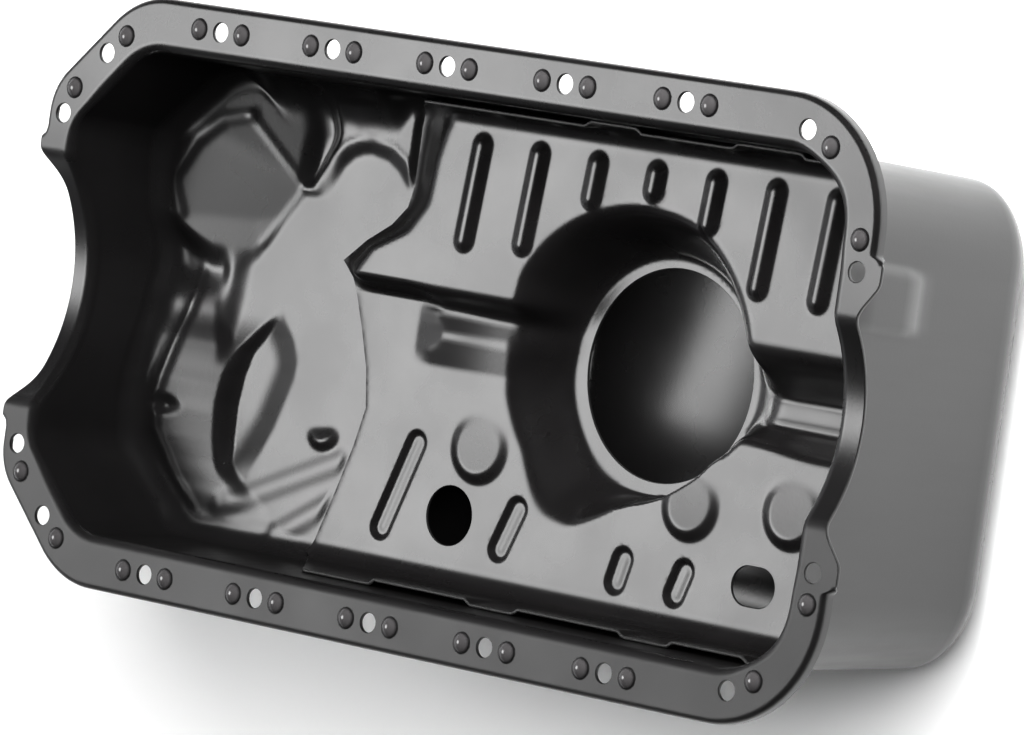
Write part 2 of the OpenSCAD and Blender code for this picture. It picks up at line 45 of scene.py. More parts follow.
def smooth(t):  # an even start and end between 0 and 1
    t = np.clip(t, 0.0, 1.0)
    return t * t * (3 - 2 * t)


def ramp(x, a, b):
    return smooth((x - a) / (b - a))


def mix(a, b, t):
    return a + (b - a) * t


def bump(d):  # 1 in the middle, 0 at a distance of 1 and beyond
    return np.cos(np.pi / 2 * np.clip(d, -1, 1)) ** 2


def softFloor(f, k):  # nothing below zero, with a rounding of half width k
    return np.where(f >= k, f, np.where(f <= -k, 0.0, (f + k) ** 2 / (4 * k)))


def segmentDistance(x, y, a, b):
    ex, ey = b[0] - a[0], b[1] - a[1]
    t = np.clip(((x - a[0]) * ex + (y - a[1]) * ey) / (ex * ex + ey * ey), 0, 1)
    return np.hypot(x - a[0] - t * ex, y - a[1] - t * ey)


def along(table, y):  # a value read from a table of [place, value]
    rows = np.array(table, float)
    return np.interp(y, rows[:, 0], rows[:, 1])


def lineRun(p, q, n):  # n points with their outward directions
    p, q = np.array(p, float), np.array(q, float)
    d = (q - p) / np.linalg.norm(q - p)
    t = np.arange(n)[:, None] / n
    return np.hstack([p + (q - p) * t, np.tile([d[1], -d[0]], (n, 1))])


def arcRun(c, r, a0, a1, n):
    a = np.radians(mix(a0, a1, np.arange(n) / n))
    return np.column_stack([c[0] + r * np.cos(a), c[1] + r * np.sin(a), np.cos(a), np.sin(a)])


def roundPath(points, n):  # corners are [x, y, radius]; n steps round each of them
    out = []
    for k in range(1, len(points) - 1):
        a, b, c = (np.array(points[i][:2], float) for i in (k - 1, k, k + 1))
        r = points[k][2]
        u = (a - b) / np.linalg.norm(a - b)
        v = (c - b) / np.linalg.norm(c - b)
        half = math.acos(np.clip(u @ v, -1, 1)) / 2
        centre = b + (u + v) / np.linalg.norm(u + v) * r / math.sin(half)
        s = b + u * r / math.tan(half) - centre
        e = b + v * r / math.tan(half) - centre
        a0 = math.atan2(s[1], s[0])
        da = math.atan2(s[0] * e[1] - s[1] * e[0], s @ e)
        for i in range(n + 1):
            out.append(centre + r * np.array([math.cos(a0 + da * i / n), math.sin(a0 + da * i / n)]))
    return np.array(out)


def insideLoop(points, loop):
    x, y = points[:, 0], points[:, 1]
    inside = np.zeros(len(points), bool)
    for (x0, y0), (x1, y1) in zip(loop, np.roll(loop, -1, axis=0)):
        if y0 != y1:
            inside ^= ((y0 > y) != (y1 > y)) & (x < (x1 - x0) * (y - y0) / (y1 - y0) + x0)
    return inside


def loopDistance(points, loop):
    best = np.full(len(points), 1e9)
    batch = 4000  # points at a time, to keep the arrays small
    for start in range(0, len(points), batch):
        part = points[start:start + batch]
        d = part[:, None, :] - loop[None, :, :]
        best[start:start + batch] = np.sqrt((d * d).sum(2).min(1))
    return best


def hexGrid(x0, x1, y0, y1, step):
    rowStep = 0.866  # row distance of a grid of equal triangles
    rows = int((y1 - y0) / (step * rowStep)) + 1
    cols = int((x1 - x0) / step) + 1
    j, i = np.meshgrid(np.arange(rows), np.arange(cols), indexing="ij")
    return np.column_stack([(x0 + (i + 0.5 * (j % 2)) * step).ravel(), (y0 + j * step * rowStep).ravel()])


def placeObject(name, data):
    made = bpy.data.objects.new(name, data)
    bpy.context.scene.collection.objects.link(made)
    return made


# A sheet under construction: points of its upper face, and faces that index them
def newSheet():
    return {"points": [], "count": 0, "faces": []}


def addPoints(sheet, pts):
    first = sheet["count"]
    sheet["points"].append(np.asarray(pts, float))
    sheet["count"] += len(pts)
    return np.arange(first, first + len(pts))


def bridge(sheet, outer, inner):  # joins two closed rings of equal length, both counterclockwise
    a, b = np.roll(outer, -1), np.roll(inner, -1)
    sheet["faces"] += np.column_stack([outer, a, b, inner]).tolist()


def outsideHoles(spots, tris, edges, origins, holes):  # keeps or drops whole regions between the edges
    origin = [o[0] for o in origins]
    fixed = {frozenset(e) for e in edges}
    sharing = {}
    for t, tri in enumerate(tris):
        for a, b in zip(tri, np.roll(tri, -1)):
            pair = frozenset((origin[a], origin[b]))
            if pair not in fixed:
                sharing.setdefault(pair, []).append(t)
    neighbours = [[] for _ in tris]
    for pair in sharing.values():
        if len(pair) == 2:
            neighbours[pair[0]].append(pair[1])
            neighbours[pair[1]].append(pair[0])
    a, b, c = (spots[tris[:, k]] for k in range(3))
    ab, ac = b - a, c - a
    area = np.abs(ab[:, 0] * ac[:, 1] - ab[:, 1] * ac[:, 0])
    keep = np.ones(len(tris), bool)
    seen = np.zeros(len(tris), bool)
    for start in range(len(tris)):
        if seen[start]:
            continue
        region, stack = [], [start]
        seen[start] = True
        while stack:
            t = stack.pop()
            region.append(t)
            for other in neighbours[t]:
                if not seen[other]:
                    seen[other] = True
                    stack.append(other)
        biggest = region[int(np.argmax(area[region]))]
        middle = spots[tris[biggest]].mean(0)[None]
        if any(insideLoop(middle, hole)[0] for hole in holes):
            keep[region] = False
    return keep


def fillArea(sheet, loops, height, grid, keepOff):  # loops: the outer ring and the holes
    allPoints = np.vstack(sheet["points"])
    rings = [allPoints[loop][:, :2] for loop in loops]
    grid = grid[insideLoop(grid, rings[0])]
    for ring in rings[1:]:
        grid = grid[~insideLoop(grid, ring)]
    for ring in rings:
        grid = grid[loopDistance(grid, ring) > keepOff]
    fresh = addPoints(sheet, np.column_stack([grid, height(grid[:, 0], grid[:, 1])]))
    index = np.concatenate(loops + [fresh])
    flat = np.vstack(rings + [grid])
    edges, first = [], 0
    for ring in rings:
        n = len(ring)
        edges += [(first + k, first + (k + 1) % n) for k in range(n)]
        first += n
    found = delaunay_2d_cdt([Vector(p) for p in flat], edges, [], 1, 1e-6)  # only inside the outline
    where = np.array([index[o[0]] for o in found[3]])
    spots = np.array([tuple(v) for v in found[0]])
    tris = np.array(found[2])
    for tri in tris[outsideHoles(spots, tris, edges, found[3], rings[1:])]:
        a, b, c = spots[tri]
        turn = (b[0] - a[0]) * (c[1] - a[1]) - (b[1] - a[1]) * (c[0] - a[0])
        sheet["faces"].append(where[tri].tolist() if turn > 0 else where[tri[::-1]].tolist())


def pointNormals(points, faces):
    normals = np.zeros_like(points)
    for size in (3, 4):
        group = np.array([f for f in faces if len(f) == size])
        if not len(group):
            continue
        a, b, c = points[group[:, 0]], points[group[:, 1]], points[group[:, -1]]
        n = np.cross(b - a, points[group[:, 2]] - a)
        if size == 4:
            n = n + np.cross(points[group[:, 2]] - a, c - a)
        for k in range(size):
            np.add.at(normals, group[:, k], n)
    return normals / np.maximum(np.linalg.norm(normals, axis=1), 1e-12)[:, None]


def closeSheet(sheet, thickness, edgeRound, name, materials):  # adds the underside and the cut edges
    top = np.vstack(sheet["points"])
    faces = [[int(i) for k, i in enumerate(f) if i != f[k - 1]] for f in sheet["faces"]]
    faces = [f for f in faces if len(f) > 2]
    n = pointNormals(top, faces)
    under = top - n * thickness
    count = len(top)
    sides = dict.fromkeys(pair for f in faces for pair in zip(f, f[1:] + f[:1]))
    rim = {a: b for (a, b) in sides if (b, a) not in sides}
    back = {b: a for a, b in rim.items()}
    low = [[i + count for i in reversed(f)] for f in faces]
    skin = faces + low
    extra, edgeFaces, across = [], [], {}  # across: the points over the cut edge, from face to face
    for a in rim:
        t = top[rim[a]] - top[back[a]]
        out = np.cross(t, n[a])
        out /= max(np.linalg.norm(out), 1e-12)
        first = 2 * count + len(extra)
        across[a] = (a, first, first + 1, a + count)
        extra += [top[a] - n[a] * edgeRound, under[a] + n[a] * edgeRound]
        top[a] -= out * edgeRound
        under[a] -= out * edgeRound
    for a, b in rim.items():
        for k in range(3):
            edgeFaces.append([across[b][k], across[a][k], across[a][k + 1], across[b][k + 1]])
    points = np.vstack([top, under, np.array(extra)]) * mm
    mesh = bpy.data.meshes.new(name)
    mesh.from_pydata(points.tolist(), [], skin + edgeFaces)
    for material in materials:
        mesh.materials.append(material)
    index = np.zeros(len(skin) + len(edgeFaces), np.int32)
    index[len(skin):] = 1
    mesh.polygons.foreach_set("material_index", index)
    mesh.polygons.foreach_set("use_smooth", np.ones(len(index), bool))
    mesh.update()
    ends = np.empty(2 * len(mesh.edges), np.int64)
    mesh.edges.foreach_get("vertices", ends)
    ends = np.sort(ends.reshape(-1, 2), axis=1)
    around = np.array(list(rim.items()), np.int64)
    around = np.sort(np.vstack([around, around + count]), axis=1)
    total = len(points)
    crisp = np.isin(ends[:, 0] * total + ends[:, 1], around[:, 0] * total + around[:, 1])
    mesh.attributes.new("sharp_edge", "BOOLEAN", "EDGE").data.foreach_set("value", crisp)
    return placeObject(name, mesh)


# Finishes: lengths in metres, scales of the grain per metre
finishes = {
    "blackDipCoat": {"colour": (0.0042, 0.0040, 0.0041, 1), "rough": 0.27,
                     "bumpDepth": 0.00006, "peelScale": 900, "cloudScale": 22, "drawMarks": 0.5,
                     "wear": 0.2},
    "baffleDipCoat": {"colour": (0.0044, 0.0041, 0.0042, 1), "rough": 0.27,
                      "bumpDepth": 0.00005, "peelScale": 850, "cloudScale": 26, "drawMarks": 0.1},
    "coatedEdge": {"colour": (0.012, 0.012, 0.012, 1), "rough": 0.5, "metallic": 0.2,
                   "bumpDepth": 0.00004, "peelScale": 1500, "cloudScale": 120},
    "zincPlug": {"colour": (0.62, 0.60, 0.54, 1), "rough": 0.30, "metallic": 1.0,
                 "bumpDepth": 0.00003, "peelScale": 1600, "cloudScale": 90, "drawMarks": 0.15},
    "weldNutSteel": {"colour": (0.33, 0.33, 0.34, 1), "rough": 0.42, "metallic": 0.9,
                     "bumpDepth": 0.00005, "peelScale": 1200, "cloudScale": 80, "drawMarks": 0.2},
    "copperRing": {"colour": (0.60, 0.30, 0.16, 1), "rough": 0.34, "metallic": 1.0,
                   "bumpDepth": 0.00003, "peelScale": 1500, "cloudScale": 100, "drawMarks": 0.1},
}

# Grain of the coat; places are in metres, as the shader reads them, and run from nothing to full
grain = {
    "peelDetail": 2.0,
    "cloudDetail": 4.0,
    "cloudRoughness": 0.55,
    "streakStretch": (260, 260, 9),
    "streakDetail": 3.0,
    "steepBelow": 0.35,  # draw marks fade out as the normal's height reaches this
    "cloudTone": (0.35, 0.7, 0.9, 1.22),  # from noise values to factors on the colour
    "cloudGloss": (0.3, 0.7, -0.025, 0.03),  # from noise values to a change of roughness
    "streakGloss": 0.3,
    "flangeTop": (-0.0022, -0.0004),
    "belowDomes": (0.0008, 0.0002),
    "domeTops": (0.0002, 0.0010),
    "wornEndX": (-0.145, -0.182),
    "wornEndY": (0.12, -0.02),
    "wornSideY": (0.1, -0.075),
    # painted sheen: how many times over the domes' tops are lightened in colour
    "domePaintedSheen": 42.0,
    "domeGloss": -0.9,
    "bumpStrength": 0.25,
}


def nodeMaterial(name):
    material = bpy.data.materials.new(name)
    material.use_nodes = True
    return material, material.node_tree.nodes, material.node_tree.links


def socket(tree, name, kind, inOut, value=None):
    made = tree.interface.new_socket(name=name, in_out=inOut, socket_type=kind)
    if value is not None:
        made.default_value = value


def put(tree, value, target):  # a number, or another node's output
    if isinstance(value, (int, float)):
        target.default_value = value
    else:
        tree.links.new(value, target)


def rangeNode(tree, *values, soft=False):  # source, from low and high, to low and high
    node = tree.nodes.new("ShaderNodeMapRange")
    node.interpolation_type = "SMOOTHSTEP" if soft else "LINEAR"
    for name, value in zip(("Value", "From Min", "From Max", "To Min", "To Max"), values):
        put(tree, value, node.inputs[name])
    return node.outputs[0]


def makeCoatGrain():  # orange peel, draw marks, thin spots and rubbed places of a dip coat, and a painted sheen on the domes' tops
    tree = bpy.data.node_groups.new("coatGrain", "ShaderNodeTree")
    socket(tree, "Colour", "NodeSocketColor", "INPUT", (0.02, 0.02, 0.02, 1))
    starts = {"Roughness": 0.3, "Peel Scale": 900.0, "Cloud Scale": 22.0, "Draw Marks": 0.2,
              "Flange Wear": 0.0}
    for name, value in starts.items():
        socket(tree, name, "NodeSocketFloat", "INPUT", value)
    socket(tree, "Colour", "NodeSocketColor", "OUTPUT")
    socket(tree, "Roughness", "NodeSocketFloat", "OUTPUT")
    socket(tree, "Height", "NodeSocketFloat", "OUTPUT")
    nodes, links = tree.nodes, tree.links
    gin, gout = nodes.new("NodeGroupInput"), nodes.new("NodeGroupOutput")

    def noise(vector, scale, detail):
        node = nodes.new("ShaderNodeTexNoise")
        for name, value in (("Vector", vector), ("Scale", scale), ("Detail", detail)):
            put(tree, value, node.inputs[name])
        return node

    def span(source, start, full):
        return rangeNode(tree, source, start, full, 0.0, 1.0, soft=True)

    def joined(operation, first, second):
        node = nodes.new("ShaderNodeMath")
        node.operation = operation
        put(tree, first, node.inputs[0])
        put(tree, second, node.inputs[1])
        return node.outputs[0]

    place = nodes.new("ShaderNodeTexCoord").outputs["Object"]
    peel = noise(place, gin.outputs["Peel Scale"], grain["peelDetail"])
    cloud = noise(place, gin.outputs["Cloud Scale"], grain["cloudDetail"])
    cloud.inputs["Roughness"].default_value = grain["cloudRoughness"]
    stretch = nodes.new("ShaderNodeMapping")
    stretch.inputs["Scale"].default_value = grain["streakStretch"]
    links.new(place, stretch.inputs["Vector"])
    streak = noise(stretch.outputs["Vector"], 1.0, grain["streakDetail"])
    facing = nodes.new("ShaderNodeSeparateXYZ")
    links.new(nodes.new("ShaderNodeNewGeometry").outputs["Normal"], facing.inputs[0])
    upright = joined("ABSOLUTE", facing.outputs["Z"], 0.0)
    steep = rangeNode(tree, upright, 0.0, grain["steepBelow"], 1.0, 0.0)
    drawn = joined("MULTIPLY", steep, gin.outputs["Draw Marks"])
    streaks = joined("MULTIPLY", streak.outputs["Fac"], drawn)

    # the gasket face is duller, most of all away from the drain; the domes' tops are rubbed glossier, and
    # their colour is lightened as a painted sheen
    spot = nodes.new("ShaderNodeSeparateXYZ")
    links.new(place, spot.inputs[0])
    x, y, z = spot.outputs["X"], spot.outputs["Y"], spot.outputs["Z"]
    wear = gin.outputs["Flange Wear"]
    onTop = joined("MULTIPLY", span(z, *grain["flangeTop"]), span(z, *grain["belowDomes"]))
    wornEnd = joined("MULTIPLY", span(x, *grain["wornEndX"]), span(y, *grain["wornEndY"]))
    worn = joined("MULTIPLY", onTop, joined("MAXIMUM", wornEnd, span(y, *grain["wornSideY"])))
    domePolishAndPaintedSheen = joined("MULTIPLY", span(z, *grain["domeTops"]), wear)

    tone = rangeNode(tree, cloud.outputs["Fac"], *grain["cloudTone"])
    tint = nodes.new("ShaderNodeVectorMath")
    tint.operation = "SCALE"
    links.new(gin.outputs["Colour"], tint.inputs[0])
    # painted sheen: the domes' tops are lightened in colour many times over, scaled by the flange wear
    links.new(joined("ADD", tone, joined("MULTIPLY", domePolishAndPaintedSheen, grain["domePaintedSheen"])), tint.inputs["Scale"])
    links.new(tint.outputs[0], gout.inputs["Colour"])
    cloudy = rangeNode(tree, cloud.outputs["Fac"], *grain["cloudGloss"])
    gloss = joined("ADD", gin.outputs["Roughness"], cloudy)
    gloss = joined("ADD", gloss, joined("MULTIPLY", streaks, grain["streakGloss"]))
    gloss = joined("ADD", gloss, joined("MULTIPLY", worn, wear))
    gloss = joined("ADD", gloss, joined("MULTIPLY", domePolishAndPaintedSheen, grain["domeGloss"]))
    links.new(gloss, gout.inputs["Roughness"])
    links.new(joined("ADD", peel.outputs["Fac"], streaks), gout.inputs["Height"])
    return tree


coatGrain = makeCoatGrain()


def makeMaterial(name, colour, rough, bumpDepth, peelScale, cloudScale,
                 metallic=0.0, drawMarks=0.0, wear=0.0):
    material, nodes, links = nodeMaterial(name)
    shader = nodes["Principled BSDF"]
    shader.inputs["Metallic"].default_value = metallic
    coat = nodes.new("ShaderNodeGroup")
    coat.node_tree = coatGrain
    values = {"Colour": colour, "Roughness": rough, "Peel Scale": peelScale, "Cloud Scale": cloudScale,
              "Draw Marks": drawMarks, "Flange Wear": wear}
    for socketName, value in values.items():
        coat.inputs[socketName].default_value = value
    links.new(coat.outputs["Colour"], shader.inputs["Base Color"])
    links.new(coat.outputs["Roughness"], shader.inputs["Roughness"])
    relief = nodes.new("ShaderNodeBump")
    relief.inputs["Strength"].default_value = grain["bumpStrength"]
    relief.inputs["Distance"].default_value = bumpDepth
    links.new(coat.outputs["Height"], relief.inputs["Height"])
    links.new(relief.outputs["Normal"], shader.inputs["Normal"])
    return material


materials = {name: makeMaterial(name, **values) for name, values in finishes.items()}
print("materials made")

# Sizes of the pan body
pan = {
    "sheet": 1.5,
    "bayWidth": 176.0,
    "wallRight": 185.0,
    "wallLeft": 176.0,
    "flangeWidth": 19.8,
    "lip": 5.0,
    "lipRadius": 2.2,
    "bend": 4.0,
    "cornerRadius": 27.0,
    "shallowDepth": 52.5,
    "sumpDepth": 125.0,
    "shallowFillet": 8.0,
    "sumpFillet": 22.0,
    "stepX": -48.0,
    "stepRun": 28.0,
    "sideDraft": 2.0,
    "endDraft": 4.5,
    "noseDraft": 7.0,
    "crankHeight": 43.0,
    "noseArch": 63.0,
    "sumpArch": 55.0,
    "boltRadius": 3.5,
    "domeRadius": 3.7,
    "domeHeight": 2.0,
    "chamferRun": 29.6,
    "chamferFillet": 22.0,
    "noseFillet": 12.0,
    "boltPitch": 55.0,
    "archSoft": 2.5,  # rounding where an arch leaves the gasket face
    "footWave": 8.0,  # the nose wall's foot swings in behind the arch
    "boltTuck": 1.1,  # the bend is tighter beside the end bolts by this much
    "cornerTuck": 1.3,
    "padSwell": 2.6,
    "padY": 43.0,
    "padHalf": 13.0,
    "farRound": 10.0,  # extra rounding of the far wall's foot beside the ridge
    "edgeRound": 0.25,
    "floorStep": 1.4,  # mesh sizes of the floor, from the shallow end on
    "midStep": 2.2,
    "farStep": 7.0,
    "holePoints": 36,
    "lipRings": 12,
    "bendRings": 8,
    "wallRings": 18,
    "footRings": 11,
}
wallY = pan["bayWidth"] / 2
stepEnd = pan["stepX"] + pan["stepRun"]
noseChamferX = pan["wallLeft"] - pan["chamferRun"]
chamferY = wallY - (pan["wallLeft"] - noseChamferX)
right, left = pan["wallRight"], pan["wallLeft"]


def bayOutline():  # the bay's wall at the gasket face; the last value of a run is its number of points
    c = math.cos(math.radians(45))
    half = math.tan(math.radians(22.5))
    big, small = pan["chamferFillet"], pan["noseFillet"]
    r = pan["cornerRadius"]
    endSplit = 30  # the ends' points are closer together beyond this
    upperCut = (-noseChamferX - big * half * c, wallY - big * half * c)
    lowerCut = (-left + small * half * c, chamferY + small * half * c)
    upper = np.vstack([
        lineRun((right, 0), (right, endSplit), 14),
        lineRun((right, endSplit), (right, wallY - r), 30),
        arcRun((right - r, wallY - r), r, 0, 90, 30),
        lineRun((right - r, wallY), (stepEnd, wallY), 26),
        lineRun((stepEnd, wallY), (pan["stepX"], wallY), 20),
        lineRun((pan["stepX"], wallY), (-noseChamferX + big * half, wallY), 48),
        arcRun((-noseChamferX + big * half, wallY - big), big, 90, 135, 12),
        lineRun(upperCut, lowerCut, 12),
        arcRun((-left + small, chamferY - small * half), small, 135, 180, 10),
        lineRun((-left, chamferY - small * half), (-left, endSplit), 24),
        lineRun((-left, endSplit), (-left, 0), 18)])
    middle = np.array([[-left, 0, -1, 0]])
    lower = upper[:0:-1] * [1, -1, 1, -1]
    return np.vstack([upper, middle, lower])


bay = bayOutline()
flangeSide = wallY + pan["flangeWidth"]
neckRight, neckLeft = right + 11.4, -left - 9.5  # the flange is narrow below the crankshaft

# Half of the flange's outer edge, from the sump's end to the shallow end: [x, y, radius]
flangeCorners = [
    (neckRight, -10, 0), (neckRight, 36.5, 12), (right + 19.6, 47, 6), (right + 19.6, 55.4, 0.5),
    (right + 15.5, 57, 0.8), (right + 15.5, flangeSide, 44.5), (-noseChamferX - 6.6, flangeSide, 36),
    (-left - 14.5, flangeSide - 37.5, 22), (-left - 14.5, 54.5, 1.5), (-left - 16, 51.5, 2.5),
    (-left - 16, 47, 8), (neckLeft, 36.5, 16), (neckLeft, -10, 0)]
flangeEdge = np.vstack([[neckRight, 0], roundPath(flangeCorners, 14), [neckLeft, 0]])


def flangeReach(q):  # how far the flange stands out from the wall at each of its points
    p = np.column_stack([q[:, 0], np.abs(q[:, 1])])[:, None, :]
    n = np.column_stack([q[:, 2], np.where(q[:, 1] < 0, -q[:, 3], q[:, 3])])[:, None, :]
    a, e = flangeEdge[None, :-1], np.diff(flangeEdge, axis=0)[None]
    den = n[..., 0] * e[..., 1] - n[..., 1] * e[..., 0]
    w = a - p
    den = np.where(np.abs(den) < 1e-9, 1e-9, den)
    t = (w[..., 0] * e[..., 1] - w[..., 1] * e[..., 0]) / den
    s = (w[..., 0] * n[..., 1] - w[..., 1] * n[..., 0]) / den
    return np.where((s > -0.001) & (s < 1.001) & (t > 0), t, 1e3).min(1)


def archDip(x, y):
    r = np.where(x > 0, pan["sumpArch"], pan["noseArch"])
    return softFloor(np.sqrt(np.maximum(r * r - y * y, 0)) - pan["crankHeight"], pan["archSoft"])


def flangeZ(x, y):
    return -archDip(x, y)


def deep(x):  # 0 over the shallow floor, 1 over the sump
    return ramp(x, pan["stepX"], stepEnd)


# Left edge of the baffle plate, which lies on the shallow floor: [y, x]
edgeLine = [
    (-84, -79), (-60, -70.5), (-42, -64.7), (-28, -61.4), (-14, -63.9), (0, -68.7), (14, -74.2),
    (17.5, -76), (23.2, -82), (31.7, -72.2), (39, -61), (46, -54.6), (54, -52.8), (75, -53), (84, -52)]

# Shapes pressed into the shallow floor, above or below its plain level. Tables are [y, value] unless noted
floorShape = {
    "ledge": [(-84, -130), (-76, -137), (-65, -148), (-49, -158), (-38, -159.3), (-29, -157),
              (-16, -153.6), (2, -149.5), (14, -150.5), (24, -158)],
    "ledgeBead": 0.5,
    "terraceSlope": [(-84, 0.08), (-76, 0.085), (-66, 0.10), (-58, 0.12), (-50, 0.14), (-30, 0.165),
                     (24, 0.16)],
    "edgeHeight": [(-84, 1.0), (-76, 1.4), (-66, 2.0), (-58, 2.7), (-50, 3.4), (-40, 4.1), (-30, 4.1),
                   (-20, 3.3), (-12, 2.7), (-4, 2.5), (3, 2.6), (22, 2.4)],
    "stepTop": [(-15, -133), (-9, -136.5), (0, -138.5), (9, -138), (19, -135), (26, -130)],
    "stepFoot": [(-15, -131), (-5, -129.5), (3, -128), (11, -127.5), (20, -127), (26, -126)],
    "lensTop": [(-70, -124), (-63, -127), (-58, -129), (-49, -130.5), (-36, -131), (-25, -129.5),
                (-16, -126.5), (-7, -119), (-1, -113)],
    "lensWidth": 4.5,
    "lensWide": 24.0,  # the step spreads to this width at its near end
    "notch": (-155.0, -40.0),
    "notchDepth": 1.5,
    "troughEdge": [(-107, -2), (-101.5, -9), (-98.5, -16), (-99, -23), (-102, -32), (-105.5, -42),
                   (-110, -51), (-115, -60)],  # [x, y]
    "troughDepth": 1.9,
    "troughSlope": 0.17,
    "facetSlope": 0.225,
    "facetSecondSlope": 0.215,
    "facetCrease": 0.06,
    "facetFold": [(-157, 30), (-127, 32), (-113, 35)],  # [x, y]
    "facetUpper": [(-162, 30), (-152, 25), (-144, 22), (-126, 22), (-118, 28), (-108, 40)],  # [x, y]
    "facetLower": [(-160, 17), (-147, 11), (-134, 11), (-126, 15), (-118, 25), (-108, 38)],  # [x, y]
    "facetRim": [(-160, 31), (-164, 43), (-154, 58), (-143, 67), (-132, 70)],  # [x, y]
    "facetRimHeight": 0.45,
    "facetBeads": [((-132, 70), (-106, 47), 0.34), ((-106, 46), (-123, 24), 0.24)],  # ends and height
    "ridge": [(-112, 45), (-105, 45.5), (-101.5, 47), (-98, 53), (-94, 60), (-88, 65.5), (-82, 68),
              (-76, 69), (-65, 67), (-58, 63), (-50, 55)],  # [x, y]
    "ridgeHeight": 0.95,
    "ridgeFall": 3.4,
    "shelfHeight": 1.7,
    "boss": (-81.0, -39.5),
    "bossRadius": 7.0,
    "bossHeight": 1.9,
    "fans": [((-125, -73), (-71, -49), 0.6), ((-96, -79), (-70, -63), 0.65),
             ((-146, -82), (-100, -80), 0.5)],  # ends and height
    "fanWidth": 6.5,
}


def pathOffset(x, y, path):  # distance from a path, positive on its left hand
    best = np.full(np.shape(x), 1e9)
    side = np.zeros(np.shape(x))
    for a, b in zip(path[:-1], path[1:]):
        d = segmentDistance(x, y, a, b)
        closer = d < best - 1e-6
        side = np.where(closer, (b[0] - a[0]) * (y - a[1]) - (b[1] - a[1]) * (x - a[0]), side)
        best = np.where(closer, d, best)
    return np.where(side >= 0, best, -best)


def softMin(a, b, k):
    h = np.clip(0.5 + 0.5 * (b - a) / k, 0, 1)
    return mix(b, a, h) - k * h * (1 - h)


def terraceRelief(x, y):  # a slope that falls from the end wall to the steep step
    f = floorShape
    ledge, slope = along(f["ledge"], y), along(f["terraceSlope"], y)
    stepTop, stepFoot = along(f["stepTop"], y), along(f["stepFoot"], y)
    lensTop = along(f["lensTop"], y)
    edge = mix(lensTop, stepTop, ramp(y, -24, -4))  # the top of the steep step
    high = along(f["edgeHeight"], y) + slope * np.maximum(edge - np.maximum(x, ledge), 0)
    high = high * (1 - 0.75 * ramp(y, -2, 13) * ramp(-x, 134, 141))
    bead = bump((x - ledge - 0.5) / 3.6) * ramp(y, -84, -70) * (1 - ramp(y, 6, 18))
    high = high + f["ledgeBead"] * bead
    share = ramp(y, -24, -1)
    rest = high * (1 - share * ramp(x, stepTop - 2.5, stepFoot + 1))
    lens = ramp(x, lensTop - 1.0, lensTop + mix(f["lensWidth"], f["lensWide"], ramp(-y, 55, 76)))
    notch = bump(np.hypot((x - f["notch"][0]) / 9, (y - f["notch"][1]) / 4.5))
    return rest * (1 - lens * (1 - ramp(y, -9, 2))) - f["notchDepth"] * notch


def facetRelief(x, y):  # two planes that rise towards the corner, with beads along their edges
    f = floorShape
    plane = f["facetSlope"] * (-0.784 * (x + 105) + 0.621 * (y - 46))
    plane = plane + f["facetCrease"] * softFloor(along(f["facetFold"], x) - y, 1.5)
    second = f["facetSecondSlope"] * (-0.997 * (x + 104) + 0.077 * (y - 46))
    h = softFloor(softMin(plane, second, 0.5), 0.25)
    bead = 0.0
    for start, end, height in f["facetBeads"]:
        bead = bead + height * bump(segmentDistance(x, y, start, end) / 2.3)
    rim = f["facetRimHeight"] * bump(np.abs(pathOffset(x, y, f["facetRim"])) / 4.2)
    return h + bead + rim


def floorRelief(x, y):
    f = floorShape
    toFacet = ramp(y, along(f["facetLower"], x), along(f["facetUpper"], x))
    land = mix(terraceRelief(x, y), facetRelief(x, y), toFacet)
    inside = np.maximum(-pathOffset(x, y, f["troughEdge"]), 0)
    lensTop = along(f["lensTop"], y)
    reach = ramp(x, lensTop - 0.5, lensTop + f["lensWidth"]) * ramp(-y, -1.5, 5) * ramp(y, -66, -50)
    depth = softMin(f["troughSlope"] * inside, np.full_like(x, f["troughDepth"]), 0.5)
    trough = -depth * reach * (x < -90)
    s = pathOffset(x, y, f["ridge"])  # positive beyond the ridge
    span = ramp(x, -110, -103) * (1 - ramp(x, -56, -46)) * ramp(y, 43, 47)
    near = f["ridgeHeight"] * bump(np.minimum(s, 0) / 6.0)
    far = f["ridgeHeight"] - f["ridgeFall"] * ramp(s, 0.3, 5.5)
    far = far + 2.1 * ramp(s, 6, 18) * ramp(-x, 92, 100)
    rise = f["shelfHeight"] * ramp(s, -7.5, -0.8) + 0.25 * bump((s + 0.4) / 1.8)
    shelf = mix(np.where(s < 0, near, far), rise, ramp(x, -99, -90)) * span
    bx, by = f["boss"]
    d = np.hypot((x - bx) / 1.15, y - by)
    boss = np.clip((f["bossRadius"] - d) / 3.4, 0, 1) * ramp(-(y - by) + 0.15 * (x - bx), -2.5, 4.5)
    fan = 0.0
    for start, end, height in f["fans"]:
        fan = fan + height * bump(segmentDistance(x, y, start, end) / f["fanWidth"])
    return land + trough + shelf + f["bossHeight"] * boss + fan


def floorFade(x, y):  # nothing is pressed in below the baffle plate
    edge = along(edgeLine, y)
    return 1 - ramp(x, edge - 4, edge - 0.8)


def floorZ(x, y):
    base = mix(pan["shallowDepth"], pan["sumpDepth"], deep(x))
    return -base + floorRelief(x, y) * floorFade(x, y)


def lean(draft, d, r):  # how far a wall with this draft leans in above its foot's rounding
    return math.tan(math.radians(draft)) * (d - r - pan["bend"])


def footInset(x):
    k = deep(x)
    d, r = mix(pan["shallowDepth"], pan["sumpDepth"], k), mix(pan["shallowFillet"], pan["sumpFillet"], k)
    return lean(pan["sideDraft"], d, r) + r


